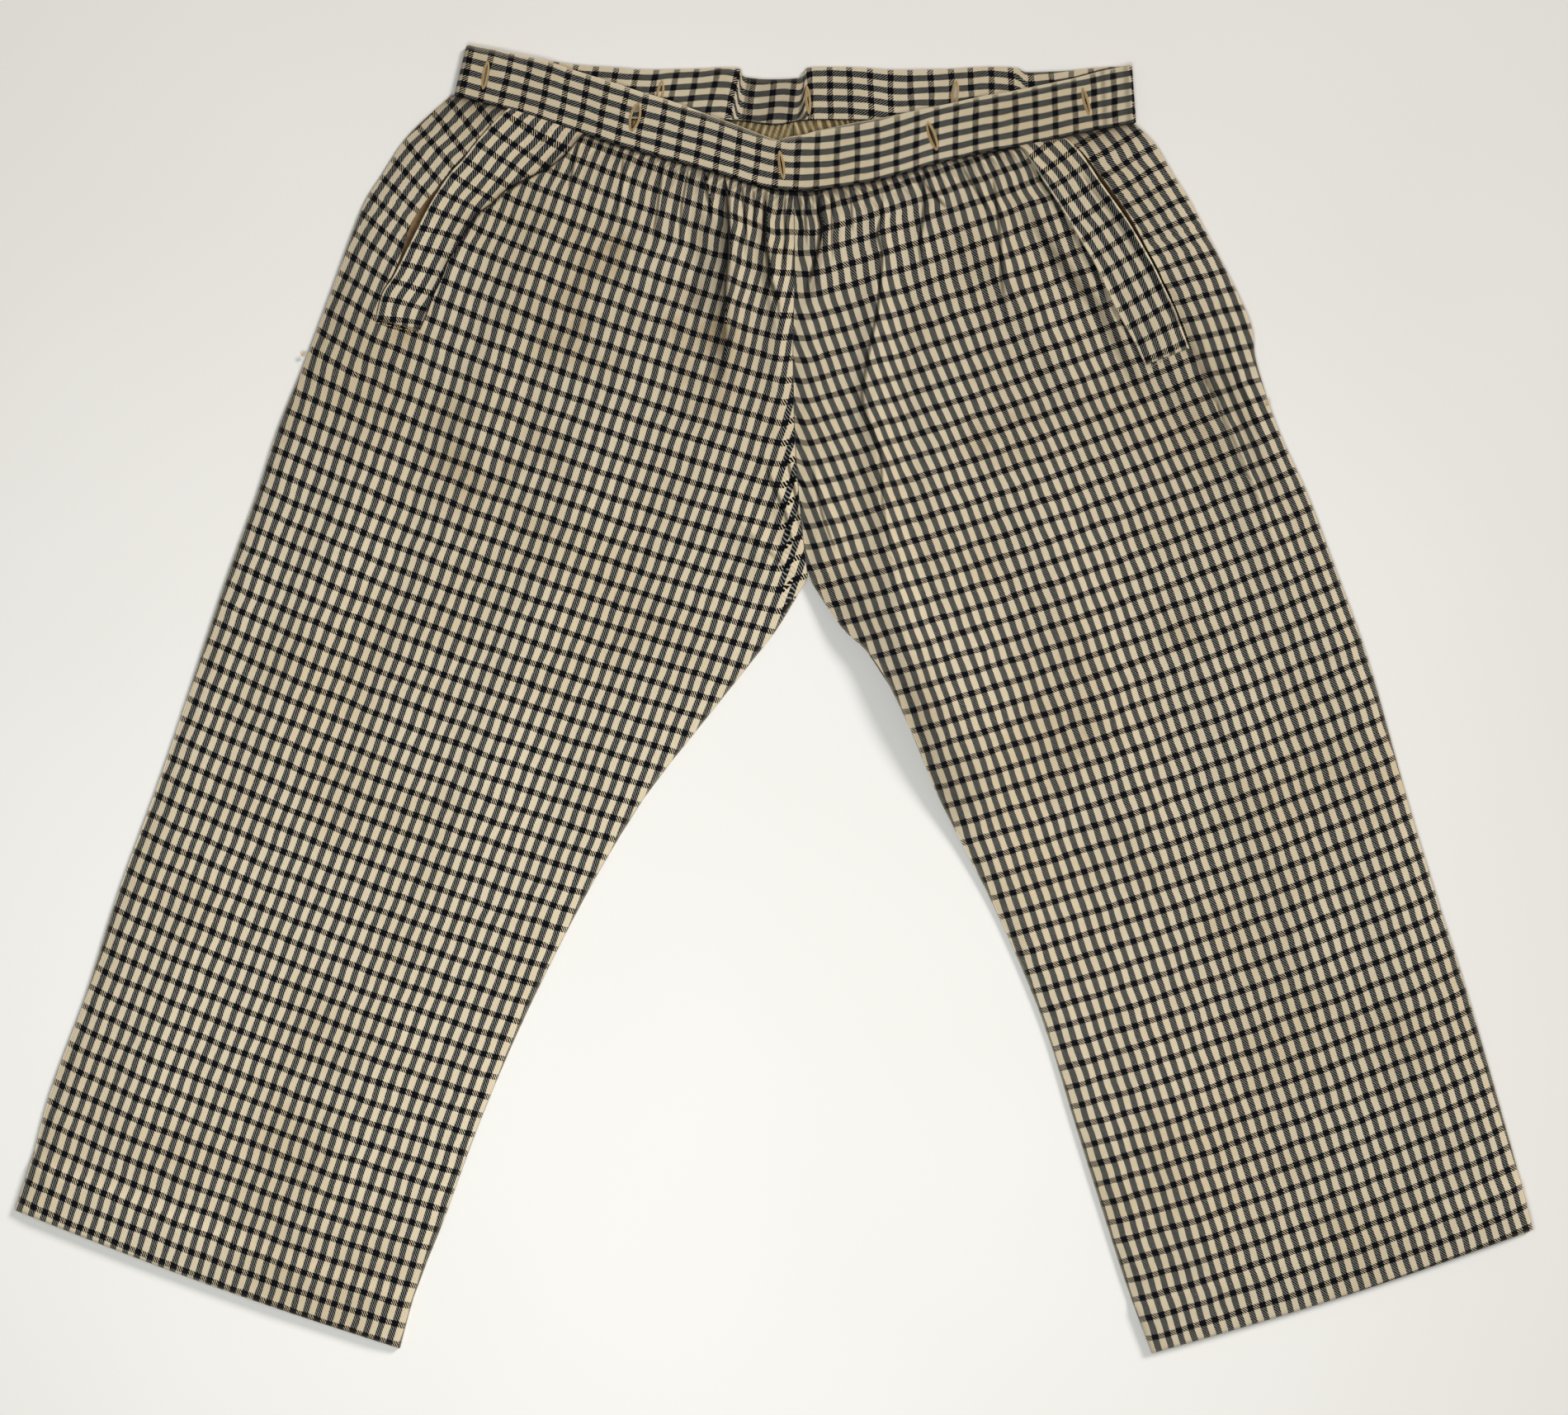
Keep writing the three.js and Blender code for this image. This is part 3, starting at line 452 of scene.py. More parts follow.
# ---- the run of the check over a leg ----
# lean of the long stripes from upright at rows of height, and the middle of the fan under the gathers
LEANS = {
    "left": [(-396, 16), (-330, 17), (-260, 19), (-200, 21), (0, 21), (100, 20), (150, 18),
             (200, 18), (243, 24), (290, 27), (330, 24), (370, 24)],
    "right": [(-396, 17), (-300, 17.5), (-100, 18.5), (0, 19), (100, 21), (130, 23), (170, 25),
              (213, 21), (243, 18), (273, 19), (303, 25), (330, 27), (370, 27)],
}
LINE_TILT = {"left": 20.0, "right": 18.0}
OUTER_STRIPE = {"left": -336.0, "right": -342.0}
LINE_START = {"left": 4.0, "right": -0.7}
LINE_SKEW = 0.087            # how the cross lines lean and bow from the outer stripe inward
LINE_BOW = 0.00026
FAN_MIDDLE = -120.0
FAN_START = 240.0
FAN_RATE = 0.000018
CENTRE_FAN = {"left": 0.0016, "right": 0.0004}
CENTRE_FAN_START = 165.0
CENTRE_FAN_REACH = 62.0
CENTRE_X = 12.0
CENTRE_FLAT = 15.5           # half width of the middle where the cross lines run level, at the waist
CENTRE_SHARP = 3.5           # and at the crotch
CENTRE_SHARP_TOP = 195.0     # height at which the middle begins to widen, and over how much
CENTRE_WIDENING = 80.0
CENTRE_SOFT = 4.0
CENTRE_LEVEL = 243.0
SIDE_TILT = {"left": 10.0, "right": -7.0}
FOLD_TAKE_UP = 0.45
TUCK_EDGE = 0.9              # width over which the check jumps across a tuck
TAKE_UP_START = 0.07
CURVE_STEP = 5
CURVE_EASE = 9.0


def stripe_path(side, y):
    rows = LEANS[side]
    heights = np.linspace(rows[0][0] - 20, rows[-1][0] + 60, 1000)
    slope = np.tan(np.radians(np.interp(heights, [r[0] for r in rows], [r[1] for r in rows])))
    path = np.cumsum(slope) * (heights[1] - heights[0])
    return np.interp(y, heights, path - np.interp(0, heights, path))


def main_check(side, x, y):
    """Stripe and line coordinates of the leg's cloth, in millimetres."""
    sign = -SIGN[side]
    mx = x * sign
    tilt = math.radians(LINE_TILT[side])
    fan = FAN_RATE * np.maximum(0, y - FAN_START) ** 2
    stripe = math.cos(tilt) * ((1 + fan) * (mx - FAN_MIDDLE) + FAN_MIDDLE - stripe_path(side, y))
    centre = CENTRE_X * sign
    inward = np.maximum(0, mx - centre + CENTRE_FAN_REACH)
    stripe = stripe + CENTRE_FAN[side] * np.maximum(0, y - CENTRE_FAN_START) * inward**2 / (
        CENTRE_FAN_REACH + inward)
    for _, _, _, hidden, route in CREASES[side]:
        if hidden:
            fx, fy = np.array(route[::-1], float).T
            left = smooth((y - fy[0]) / (0.9 * (fy[-1] - fy[0])))
            stripe = stripe + hidden * left * smooth(0.5 - sign * (x - np.interp(y, fy, fx)) / TUCK_EDGE)
    flat = mix(CENTRE_SHARP, CENTRE_FLAT, smooth((y - CENTRE_SHARP_TOP) / CENTRE_WIDENING))
    past = flat - (centre - mx)
    slant = np.sqrt(past**2 + CENTRE_SOFT**2)
    round_v = (past + slant) / 2
    across = mx * math.cos(tilt) - y * math.sin(tilt) - OUTER_STRIPE[side]
    line = -mx * math.sin(tilt) - y * math.cos(tilt) - LINE_SKEW * across + LINE_BOW * across**2
    line = line + round_v * math.sin(tilt) + LINE_START[side]
    line = line - (1 - math.cos(tilt)) * (y - CENTRE_LEVEL) * (1 + past / slant) / 2
    return sign * stripe, line


def near_curve(curve, x, y):
    """Distance to a curve, negative on its right, and how far along it, both eased over its bends."""
    points = curve.points[::CURVE_STEP]
    runs = (curve.share * curve.length)[::CURVE_STEP]
    pieces = []
    for a, b, r0, r1 in zip(points, points[1:], runs, runs[1:]):
        tx, ty = (b - a) / np.hypot(*(b - a))
        dx, dy = x - (a[0] + b[0]) / 2, y - (a[1] + b[1]) / 2
        pieces.append((dx**2 + dy**2, tx * dy - ty * dx, (r0 + r1) / 2 + tx * dx + ty * dy))
    far, off, run = (np.array(values) for values in zip(*pieces))
    weight = np.exp(-(far - far.min(axis=0)) / (2 * CURVE_EASE**2))
    weight = weight / weight.sum(axis=0)
    return (weight * off).sum(axis=0), (weight * run).sum(axis=0)


# the side seam as the cloth's grain runs beside it, without its notch and past the waist
GRAIN_EDGE = {
    "left": Curve([(-112, 440), (-150, 405), (-196, 356), (-225, 322), (-246, 290), (-262, 257),
                   (-276, 222), (-290, 185), (-306, 142), (-322, 98), (-340, 45)], 10),
    "right": Curve([(136, 440), (176, 396), (218, 344), (243, 311), (262, 278), (277, 243),
                    (290, 207), (303, 170), (318, 130), (335, 86), (352, 35)], 10),
}


def side_check(side, x, y):
    stripe, run = near_curve(GRAIN_EDGE[side], x, y)
    inward = -SIGN[side] * stripe
    return stripe, run - inward * math.tan(math.radians(SIDE_TILT[side]))


SLIT_CURVE = {
    "left": [(-162, 361), (-173, 344.5), (-180.5, 335.5), (-188, 325.5), (-196.5, 316), (-207.5, 299),
             (-217, 280.5), (-224, 266.5), (-230, 255), (-236.5, 245), (-240.5, 229.5), (-247, 211)],
    "right": [(168, 350), (177, 339.5), (185, 330.5), (191.5, 321.5), (198, 311.5), (205, 301.5),
              (212, 291.5), (218, 282), (224, 271.5), (230.5, 259.5), (236, 247.5), (242, 235.5),
              (247, 223.5), (251.4, 211.5), (258, 190)],
}
SLIT_LINE = {k: Curve(p, 12) for k, p in SLIT_CURVE.items()}
SLIT_SPAN = {"left": (0.06, 0.88), "right": (0.10, 0.86)}
# how far each slit gapes at most, where along it, and how far that spreads
SLIT_GAPE = {"left": (4.2, 0.57, 0.14), "right": (2.0, 0.28, 0.20)}
SLIT_LEAST_GAPE = 0.7
SLIT_INSIDE = 1.1
CHECK_JOIN = {"left": (-246, 222), "right": (256, 200)}


def leg_check(side, x, y):
    """The main check, turned to the side piece's outside the pocket slit."""
    stripe, line = main_check(side, x, y)
    near = (y > 150) & (np.abs(x) > 100)
    if not near.any():
        return stripe, line
    nx, ny = x[near], y[near]
    jx, jy = (np.array([value], float) for value in CHECK_JOIN[side])
    joined = [a - b for a, b in zip(main_check(side, jx, jy), side_check(side, jx, jy))]
    points = [tuple(p) for p in SLIT_LINE[side].points[::12]]
    d, _, turn = near_line(points, nx, ny)
    inner = d * turn * -SIGN[side]
    weight = (1 - smooth((inner - 1) / 18)) * smooth((ny - 175) / 45)
    side_stripe, side_line = side_check(side, nx, ny)
    stripe = stripe.copy()
    line = line.copy()
    stripe[near] = mix(stripe[near], side_stripe + joined[0], weight)
    line[near] = mix(line[near], side_line + joined[1], weight)
    return stripe, line


def taken_up(side, layer, u, v):
    """Cloth that the gathers and folds use up along a row, counted from its middle."""
    if layer == "back":
        return np.zeros_like(u)
    level = np.full_like(u, max(v, TAKE_UP_START))
    x, y = panel_point(side, layer, u, level)
    z = front_top(side, u, level, x, y, rolled=False)
    flat = np.hypot(np.diff(x), np.diff(y))
    extra = np.concatenate([[0], np.cumsum(np.sqrt(flat**2 + np.diff(z) ** 2) - flat)])
    fade = 1 - 0.8 * smooth((v - 0.25) / 0.5)
    return FOLD_TAKE_UP * fade * (extra - np.interp(0.5, u, extra))


# painted shade along valleys: depth of the painted shade, half width, line
VALLEY_PAINTED_SHADES = {
    "left": [(0.55, 4.0, [(-30, 306), (-29, 262), (-31, 215), (-35, 180)]),
             (0.35, 5.0, [(-45, 300), (-44, 262), (-50, 220)]),
             (0.45, 2.2, [(-8, 300), (-7.5, 266), (-3, 238), (2, 214)]),
             (0.35, 5.0, [(-150, 328), (-166, 312), (-178, 298), (-190, 280), (-200, 262)])],
    "right": [(0.55, 3.6, [(152, 304), (168, 272), (181, 255), (194, 240), (205, 222), (217, 196),
                           (228, 172)]),
              (0.45, 2.4, [(29, 306), (30, 276), (25, 252), (19, 236)]),
              (0.40, 5.0, [(229, 262), (242, 236), (252, 214), (264, 190), (274, 168)]),
              (0.30, 4.0, [(92, 322), (92, 300), (90, 276)]),
              (0.32, 19.0, [(34, 96), (50, 55), (82, 2), (106, -50), (124, -96)]),
              (0.35, 4.5, [(264, 216), (278, 180), (292, 146), (306, 108)])],
}


def painted_shade_at(side, layer, u, v, x, y):
    """Strength of the painted shade at a point: how deep it lies in a crease's foot, along a valley, between
    puckers and under the waist seam.
    """
    if layer == "back":
        ticks = smooth((0.22 - pucker_wave(side, u, v)) / 0.2)
        return 0.9 * np.exp(-v * RISE / 16) * ticks * smooth((u - 0.4) / 0.2)
    deep = np.zeros_like(u)
    for crease in CREASES[side]:
        deep = np.maximum(deep, crease_height(crease, x, y)[1])
    for depth, half_width, line in VALLEY_PAINTED_SHADES[side]:
        d, along, _ = near_line(line, x, y)
        fade = smooth(along / 0.2) * smooth((1 - along) / 0.25)
        deep = np.maximum(deep, depth * fade * np.exp(-((d / half_width) ** 2)))
    wave = pucker_wave(side, u, v)
    between = 0.9 * (1 - wave * 2.0) * np.exp(-v * RISE / PUCKER_REACH)
    seam = 0.95 * np.exp(-((v * RISE / (2.0 + 1.6 * wave)) ** 2))
    return np.clip(np.maximum(np.maximum(deep, between), seam), 0, 1)


# ---- meshes ----
def new_mesh(name, points, faces, uv=None, wear=None, painted_shade=None, sharp=False):
    """A mesh object from points in millimetres; uv holds the check's coordinates of each point."""
    mesh = bpy.data.meshes.new(name)
    mesh.from_pydata((np.asarray(points, float) * MM).tolist(), [], faces)
    if uv is not None:
        layer = mesh.uv_layers.new(name="cloth")
        loops = np.empty(len(mesh.loops), dtype=np.int32)
        mesh.loops.foreach_get("vertex_index", loops)
        layer.data.foreach_set("uv", np.asarray(uv, np.float32)[loops].ravel())
    # each point keeps its wear and the strength of its painted shade as attributes
    for key, values in (("wear", wear), ("painted_shade", painted_shade)):
        if values is not None:
            attribute = mesh.attributes.new(key, "FLOAT", "POINT")
            attribute.data.foreach_set("value", np.asarray(values, np.float32))
    mesh.validate()
    if sharp:
        mesh.shade_flat()
    else:
        mesh.shade_smooth()
    piece = bpy.data.objects.new(name, mesh)
    bpy.context.scene.collection.objects.link(piece)
    return piece


def zip_rows(upper, lower, first, second):
    """Triangles between two rows of points whose places along the row differ."""
    faces = []
    i = j = 0
    while i < len(upper) - 1 or j < len(lower) - 1:
        take_upper = i < len(upper) - 1 and (j == len(lower) - 1 or upper[i + 1] <= lower[j + 1])
        if take_upper:
            faces.append((first[i], first[i + 1], second[j]))
            i += 1
        else:
            faces.append((first[i], second[j + 1], second[j]))
            j += 1
    return faces


def grid_faces(rows):
    """Faces over rows of point numbers; each row is (places, numbers)."""
    faces = []
    for (pa, ia), (pb, ib) in zip(rows, rows[1:]):
        if len(pa) == len(pb):
            faces += list(zip(ia[:-1], ia[1:], ib[1:], ib[:-1]))
        else:
            faces += zip_rows(pa, pb, ia, ib)
    return faces


def closed_cloth(name, side, layer, top_rows, low_rows, flip):
    """A closed shell from rows (v, columns) of its outer face and coarser rows of its inner one."""
    points, uv, wear, painted_shade = [], [], [], []
    count = 0
    faces = []
    rims = []
    for is_low, rows in ((False, top_rows), (True, low_rows)):
        numbered = []
        for v, us in rows:
            us = np.asarray(us)
            level = np.full_like(us, v)
            x, y, top, low = shell(side, layer, us, level)
            z = low if is_low else top
            stripe, line = leg_check(side, x, y)
            stripe = stripe - SIGN[side] * taken_up(side, layer, us, v)
            points.append(np.column_stack([x, y, z]))
            uv.append(np.column_stack([flip * stripe, line]))
            wear.append(np.exp(-edge_distance(side, us, level) / 0.8))
            # strength of the painted shade at each point
            painted_shade.append(painted_shade_at(side, layer, us, level, x, y))
            numbered.append((us, list(range(count, count + len(us)))))
            count += len(us)
        made = grid_faces(numbered)
        faces += [f[::-1] for f in made] if is_low == (side == "left") else made
        rims.append((rows, numbered))
    (rows, top), (low_list, low) = rims
    heights = ([r[0] for r in rows], [r[0] for r in low_list])
    sides = [
        (top[0][0], low[0][0], top[0][1], low[0][1], False),
        (top[-1][0], low[-1][0], top[-1][1], low[-1][1], True),
        (heights[0], heights[1], [n[1][0] for n in top], [n[1][0] for n in low], True),
        (heights[0], heights[1], [n[1][-1] for n in top], [n[1][-1] for n in low], False),
    ]
    for pa, pb, ia, ib, turned in sides:
        made = zip_rows(pa, pb, ia, ib)
        faces += [f[::-1] for f in made] if turned == (side == "left") else made
    return new_mesh(name, np.vstack(points), faces, np.vstack(uv), np.concatenate(wear),
                    np.concatenate(painted_shade))


def spread(parts):
    """Places from (start, end, count) stretches, each evenly filled."""
    places = [np.linspace(a, b, n, endpoint=False) for a, b, n in parts]
    return np.concatenate(places + [[parts[-1][1]]])


# density of a front shell: fine columns over the gathers, half as many down the leg
FRONT_COLUMNS = [(0, 0.012, 6), (0.012, 0.30, 54), (0.30, 0.62, 92), (0.62, 0.988, 158), (0.988, 1, 6)]
TOP_ROWS = [(0, 0.02, 6), (0.02, 0.35, 50), (0.35, 1.12, 74)]
LEG_ROWS = [(1.12, 1.94, 96), (1.94, 1.995, 12), (1.995, 2, 4)]
BACK_COLUMNS = [(0, 0.012, 3), (0.012, 0.45, 52), (0.45, 0.988, 150), (0.988, 1, 3)]
BACK_ROWS = [(0, 0.06, 14), (0.06, 0.12, 4), (0.12, 1.94, 70), (1.94, 1.995, 8), (1.995, 2, 3)]


def front_shell(side):
    fine = spread(FRONT_COLUMNS)
    half = fine[::2]
    top = [(v, fine) for v in spread(TOP_ROWS)] + [(v, half) for v in spread(LEG_ROWS)[1:]]
    low = [(v, half) for v in spread(TOP_ROWS)[::2]] + [(v, half[::2]) for v in spread(LEG_ROWS)[2::2]]
    return closed_cloth(f"front_{side}", side, "front", top, low, 1)


def back_shell(side):
    columns = spread(BACK_COLUMNS)
    rows = spread(BACK_ROWS)
    if len(rows) % 2 == 0:
        rows = np.append(rows[:-1], [(rows[-2] + 2) / 2, 2])
    top = [(v, columns) for v in rows]
    low = [(v, columns[::2]) for v in rows[::2]]
    return closed_cloth(f"back_{side}", side, "back", top, low, -1)


# ---- waistband ----
BAND_STATIONS = {"front": 330, "turn": 14, "back": 300}
BAND_FLAT = 14
BAND_CAP = 7
BAND_RIPPLE = 0.22
BAND_LIFT_SHARE = 0.22       # share of the band's length over which its front rises from each side
BAND_QUIET_SHARE = 0.06      # and over which its ripples grow
SEAM_DENT = 0.18
SEAM_DENT_UP = 2.6
BAND_STRIPE_START = 0.6
TURN_RADIUS = BAND_REST / 2
TURN_HEIGHT = (BAND_REST + BAND_WALL) / 2


def band_wave(x, size):
    """Slow uneven ripples along the band."""
    return size * (np.sin(x / 8.3 + 0.6) * np.sin(x / 21.0) + 0.5 * np.sin(x / 13.7 + 2.0))


def band_stations():
    rows = []
    half = BAND_WALL / 2

    def run(layer, s, z, up):
        ax, ay = (float(c) for c in BAND[layer + "Top"].at(s))
        bx, by = (float(c) for c in BAND[layer + "Bottom"].at(s))
        quiet = float(smooth(min(s, 1 - s) / BAND_QUIET_SHARE))
        z += quiet * (band_wave(ax, BAND_RIPPLE) + BAND_RIPPLE)
        ay += quiet * band_wave(ax + 40, 0.25)
        rows.append(((ax, ay, z), (bx, by, z), (0.0, 0.0, up)))

    def turn(s, out, angle):
        ax, ay = (float(c) for c in BAND["frontTop"].at(s))
        bx, by = (float(c) for c in BAND["frontBottom"].at(s))
        nx, nz = out * math.cos(angle), math.sin(angle)
        dx, z = nx * TURN_RADIUS, TURN_HEIGHT + nz * TURN_RADIUS
        rows.append(((ax + dx, ay, z), (bx + dx, by, z), (nx, 0.0, nz)))

    for i in range(BAND_STATIONS["front"] + 1):
        s = i / BAND_STATIONS["front"]
        lift = BAND_LIFT * float(smooth(min(s, 1 - s) / BAND_LIFT_SHARE))
        run("front", s, BAND_REST + half + lift, 1.0)
    for i in range(1, BAND_STATIONS["turn"]):
        turn(1.0, 1.0, math.pi * (0.5 - i / BAND_STATIONS["turn"]))
    for i in range(BAND_STATIONS["back"], -1, -1):
        run("back", i / BAND_STATIONS["back"], half, -1.0)
    for i in range(1, BAND_STATIONS["turn"]):
        turn(0.0, -1.0, math.pi * (-0.5 + i / BAND_STATIONS["turn"]))
    return rows


def band_profile(depth):
    """Closed section of the doubled strip: distance up the band, distance along its normal, run."""
    r = BAND_WALL / 2
    flat = np.linspace(0, 1, BAND_FLAT)
    cap = np.linspace(0, math.pi, BAND_CAP + 1)[1:-1]
    w = np.concatenate([r - r * np.sin(cap), r + flat * (depth - 2 * r), depth - r + r * np.sin(cap),
                        depth - r - flat * (depth - 2 * r)])
    n = np.concatenate([-r * np.cos(cap), np.full(BAND_FLAT, r), r * np.cos(cap), np.full(BAND_FLAT, -r)])
    steps = np.hypot(np.diff(w), np.diff(n))
    return w, n, np.concatenate([[0], np.cumsum(steps)])


# painted shade on creased places of the band: whether on the front run, middle, half width, depth of the
# painted shade
BAND_PAINTED_SHADES = [(False, 1.0, 16.5, 0.22), (False, -16.8, 1.3, 0.75), (False, 17.2, 1.3, 0.75),
               (True, 199.5, 1.4, 0.5), (True, 213.5, 1.6, 0.45), (True, -187.5, 1.2, 0.35)]


def band_shell():
    rows = band_stations()
    points, uv, wear, painted_shade = [], [], [], []
    length = 0.0
    before = None
    for a, b, normal in rows:
        a, b, normal = (np.array(p) for p in (a, b, normal))
        middle = (a + b) / 2
        if before is not None:
            length += float(np.linalg.norm(middle - before))
        before = middle
        depth = float(np.linalg.norm(a - b))
        w, n, run = band_profile(depth)
        swell = 1 - SEAM_DENT * np.exp(-(((w - SEAM_DENT_UP) / 1.3) ** 2)) * (np.abs(n) > 0.9)
        along = b[None, :] + (a - b)[None, :] / depth * w[:, None]
        points.append(along + normal[None, :] * (n * swell)[:, None])
        uv.append(np.column_stack([run + BAND_STRIPE_START, np.full_like(run, length)]))
        upward = normal[2] > 0.5
        wear.append((3.2 if upward else 0.8) * np.exp(-np.abs(depth - w) / 0.7))
        # painted shade over the band's creased places
        shade = 0.0
        for on_front, x, width, strength in BAND_PAINTED_SHADES:
            if on_front == upward:
                shade = max(shade, strength * math.exp(-(((middle[0] - x) / width) ** 4)))
        painted_shade.append(np.full_like(run, shade))
    count = len(rows)
    size = len(points[0])
    faces = []
    for i in range(count):
        j = (i + 1) % count
        for k in range(size):
            m = (k + 1) % size
            faces.append((i * size + k, i * size + m, j * size + m, j * size + k))
    mesh_uv = np.vstack(uv)
    piece = new_mesh("band", np.vstack(points), faces, mesh_uv, np.concatenate(wear),
                     np.concatenate(painted_shade))
    mend_wrap(piece, count, size, mesh_uv, length)
    return piece


def mend_wrap(piece, count, size, uv, length):
    """Faces that close the ring carry the check past its end instead of back to its start."""
    layer = piece.data.uv_layers["cloth"].data
    full_run = uv[size - 1, 0] + (uv[1, 0] - uv[0, 0])
    for polygon in piece.data.polygons:
        stations = [piece.data.loops[i].vertex_index // size for i in polygon.loop_indices]
        ranks = [piece.data.loops[i].vertex_index % size for i in polygon.loop_indices]
        last_station = max(stations) == count - 1 and min(stations) == 0
        last_rank = max(ranks) == size - 1 and min(ranks) == 0
        if not (last_station or last_rank):
            continue
        for loop, station, rank in zip(polygon.loop_indices, stations, ranks):
            across, along = layer[loop].uv
            if last_station and station == 0:
                along = length + 0.3
            if last_rank and rank == 0:
                across = full_run
            layer[loop].uv = (across, along)


# ---- places on the garment's top ----
def panel_uv(side, x, y):
    """The panel place under a point, by Newton's steps from a first guess."""
    x, y = np.atleast_1d(np.asarray(x, float)), np.atleast_1d(np.asarray(y, float))
    v = np.where(y > 90, (345 - y) / 240, 1 + (90 - y) / 490)
    v = np.clip(v, 0.02, 1.98)
    u = np.full_like(v, 0.5)
    h = 1e-4
    for _ in range(14):
        px, py = panel_point(side, "front", u, v)
        ux, uy = panel_point(side, "front", u + h, v)
        vx, vy = panel_point(side, "front", u, v + h)
        a, b, c, d = (ux - px) / h, (vx - px) / h, (uy - py) / h, (vy - py) / h
        det = a * d - b * c
        ex, ey = x - px, y - py
        u = np.clip(u + (d * ex - b * ey) / det, 0, 1)
        v = np.clip(v + (a * ey - c * ex) / det, 0, 2)
    return u, v


def panel_height(side, x, y):
    u, v = panel_uv(side, x, y)
    _, _, top, low = shell(side, "front", u, v)
    return top, low


def panel_top(side):
    """The height of a front panel's face, as a function of the place."""
    return lambda x, y: panel_height(side, x, y)[0]


def band_top(run):
    """The height of a run of the band, as a function of the place: on the back, of its inner face."""
    if run == "back":
        return lambda x, _: BAND_WALL + band_wave(x, BAND_RIPPLE) + BAND_RIPPLE

    def front(x, _):
        s = np.interp(x, BAND["frontTop"].points[:, 0], BAND["frontTop"].share)
        inward = np.minimum(s, 1 - s)
        ripple = smooth(inward / BAND_QUIET_SHARE) * (band_wave(x, BAND_RIPPLE) + BAND_RIPPLE)
        return BAND_REST + BAND_WALL + BAND_LIFT * smooth(inward / BAND_LIFT_SHARE) + ripple

    return front


# ---- pocket pieces ----
# the strip inside each slit: its edge along the slit and its sewn edge
WELT_EDGES = {
    "left": {
        "slit": [(-160, 358), (-172.3, 344), (-180, 335), (-187.5, 325), (-196, 315.5), (-207, 298.5),
                 (-216.5, 280), (-223.5, 266), (-229.5, 254.5), (-236, 244.5), (-240, 229)],
        "sewn": [(-114, 342), (-125.5, 329), (-136.5, 320), (-149, 314), (-162.5, 306), (-169, 299.5),
                 (-179, 292), (-185.5, 282.5), (-191.5, 271.5), (-196, 265), (-200, 254.5),
                 (-205, 244), (-209, 233), (-213.5, 222.7)],
    },
    "right": {
        "slit": [(176, 339), (184, 330), (190.5, 321), (197, 311), (204, 301), (211, 291), (217, 281.5),
                 (223, 271), (229.5, 259), (235.2, 247), (241, 235), (246, 223), (250.4, 211.5)],
        "sewn": [(147, 336), (151, 330), (161, 314.5), (172.5, 297), (183, 279.5), (193.5, 262),
                 (203.5, 241), (208, 232), (213.3, 223), (218.7, 213), (224, 201.7)],
    },
}
WELT_THICKNESS = 1.0
WELT_GAPE = {"left": 1.6, "right": 1.0}
WELT_GRID = (130, 34)
WELT_LENGTH = 150


# the order in which a strip's faces take their corners, which decides the side that looks up
AS_DRAWN = (0, 1, 2, 3)
BACKWARD = (3, 2, 1, 0)
CROSSED = (0, 3, 2, 1)


def slab(name, x, y, heights, check, order, wear=None, painted_shade=None):
    """A closed strip over a grid of places, with an upper and a lower height at each."""
    rows, cols = x.shape
    count = rows * cols
    number = np.arange(count).reshape(x.shape)
    fields = [(number[i, j], number[i, j + 1], number[i + 1, j + 1], number[i + 1, j])
              for i in range(rows - 1) for j in range(cols - 1)]
    upper = [[corners[k] for k in order] for corners in fields]
    lower = [[k + count for k in face[::-1]] for face in upper]
    loop = np.concatenate([number[0, :], number[1:, -1], number[-1, -2::-1], number[-2:0:-1, 0]])
    fields = [(a, a + count, b + count, b) for a, b in zip(loop, np.roll(loop, -1))]
    rim = [[corners[k] for k in order] for corners in fields]
    faces = [tuple(int(k) for k in face) for face in upper + lower + rim]
    points = np.vstack([np.column_stack([x.ravel(), y.ravel(), z.ravel()]) for z in heights])
    return new_mesh(name, points, faces, np.vstack([check, check]), wear, painted_shade)


def curve_normals(line, places):
    """Points of a curve at shares of its length, and its unit normals there, to its left."""
    x, y = line.at(places)
    dx, dy = np.gradient(x), np.gradient(y)
    size = np.hypot(dx, dy)
    return x, y, -dy / size, dx / size


def strip_points(edges, places, shares):
    """Points of a strip between two curves: places along it, shares across it."""
    inner = Curve(edges["slit"])
    outer = Curve(edges["sewn"])
    ax, ay = inner.at(places[:, None] * np.ones((1, len(shares))))
    bx, by = outer.at(places[:, None] * np.ones((1, len(shares))))
    return mix(ax, bx, shares[None, :]), mix(ay, by, shares[None, :])


# the strip's check: stripe and line at its top, how its lines lean at the top and the foot
WELT_CHECK = {"left": (-1.15, -3.5, 0.12, 0.22), "right": (-1.0, -1.8, 0.07, -0.06)}
WELT_RUN_ON = {"left": (-148, 379), "right": (156, 363)}


def welt_check(side, x, y):
    edge = Curve([WELT_RUN_ON[side]] + WELT_EDGES[side]["slit"], 10)
    inward, run = near_curve(edge, x, y)
    inward = -SIGN[side] * inward
    across, start, lean_top, lean_foot = WELT_CHECK[side]
    lean = mix(lean_top, lean_foot, smooth((run - 40) / 110))
    return inward + across, run + start + lean * inward


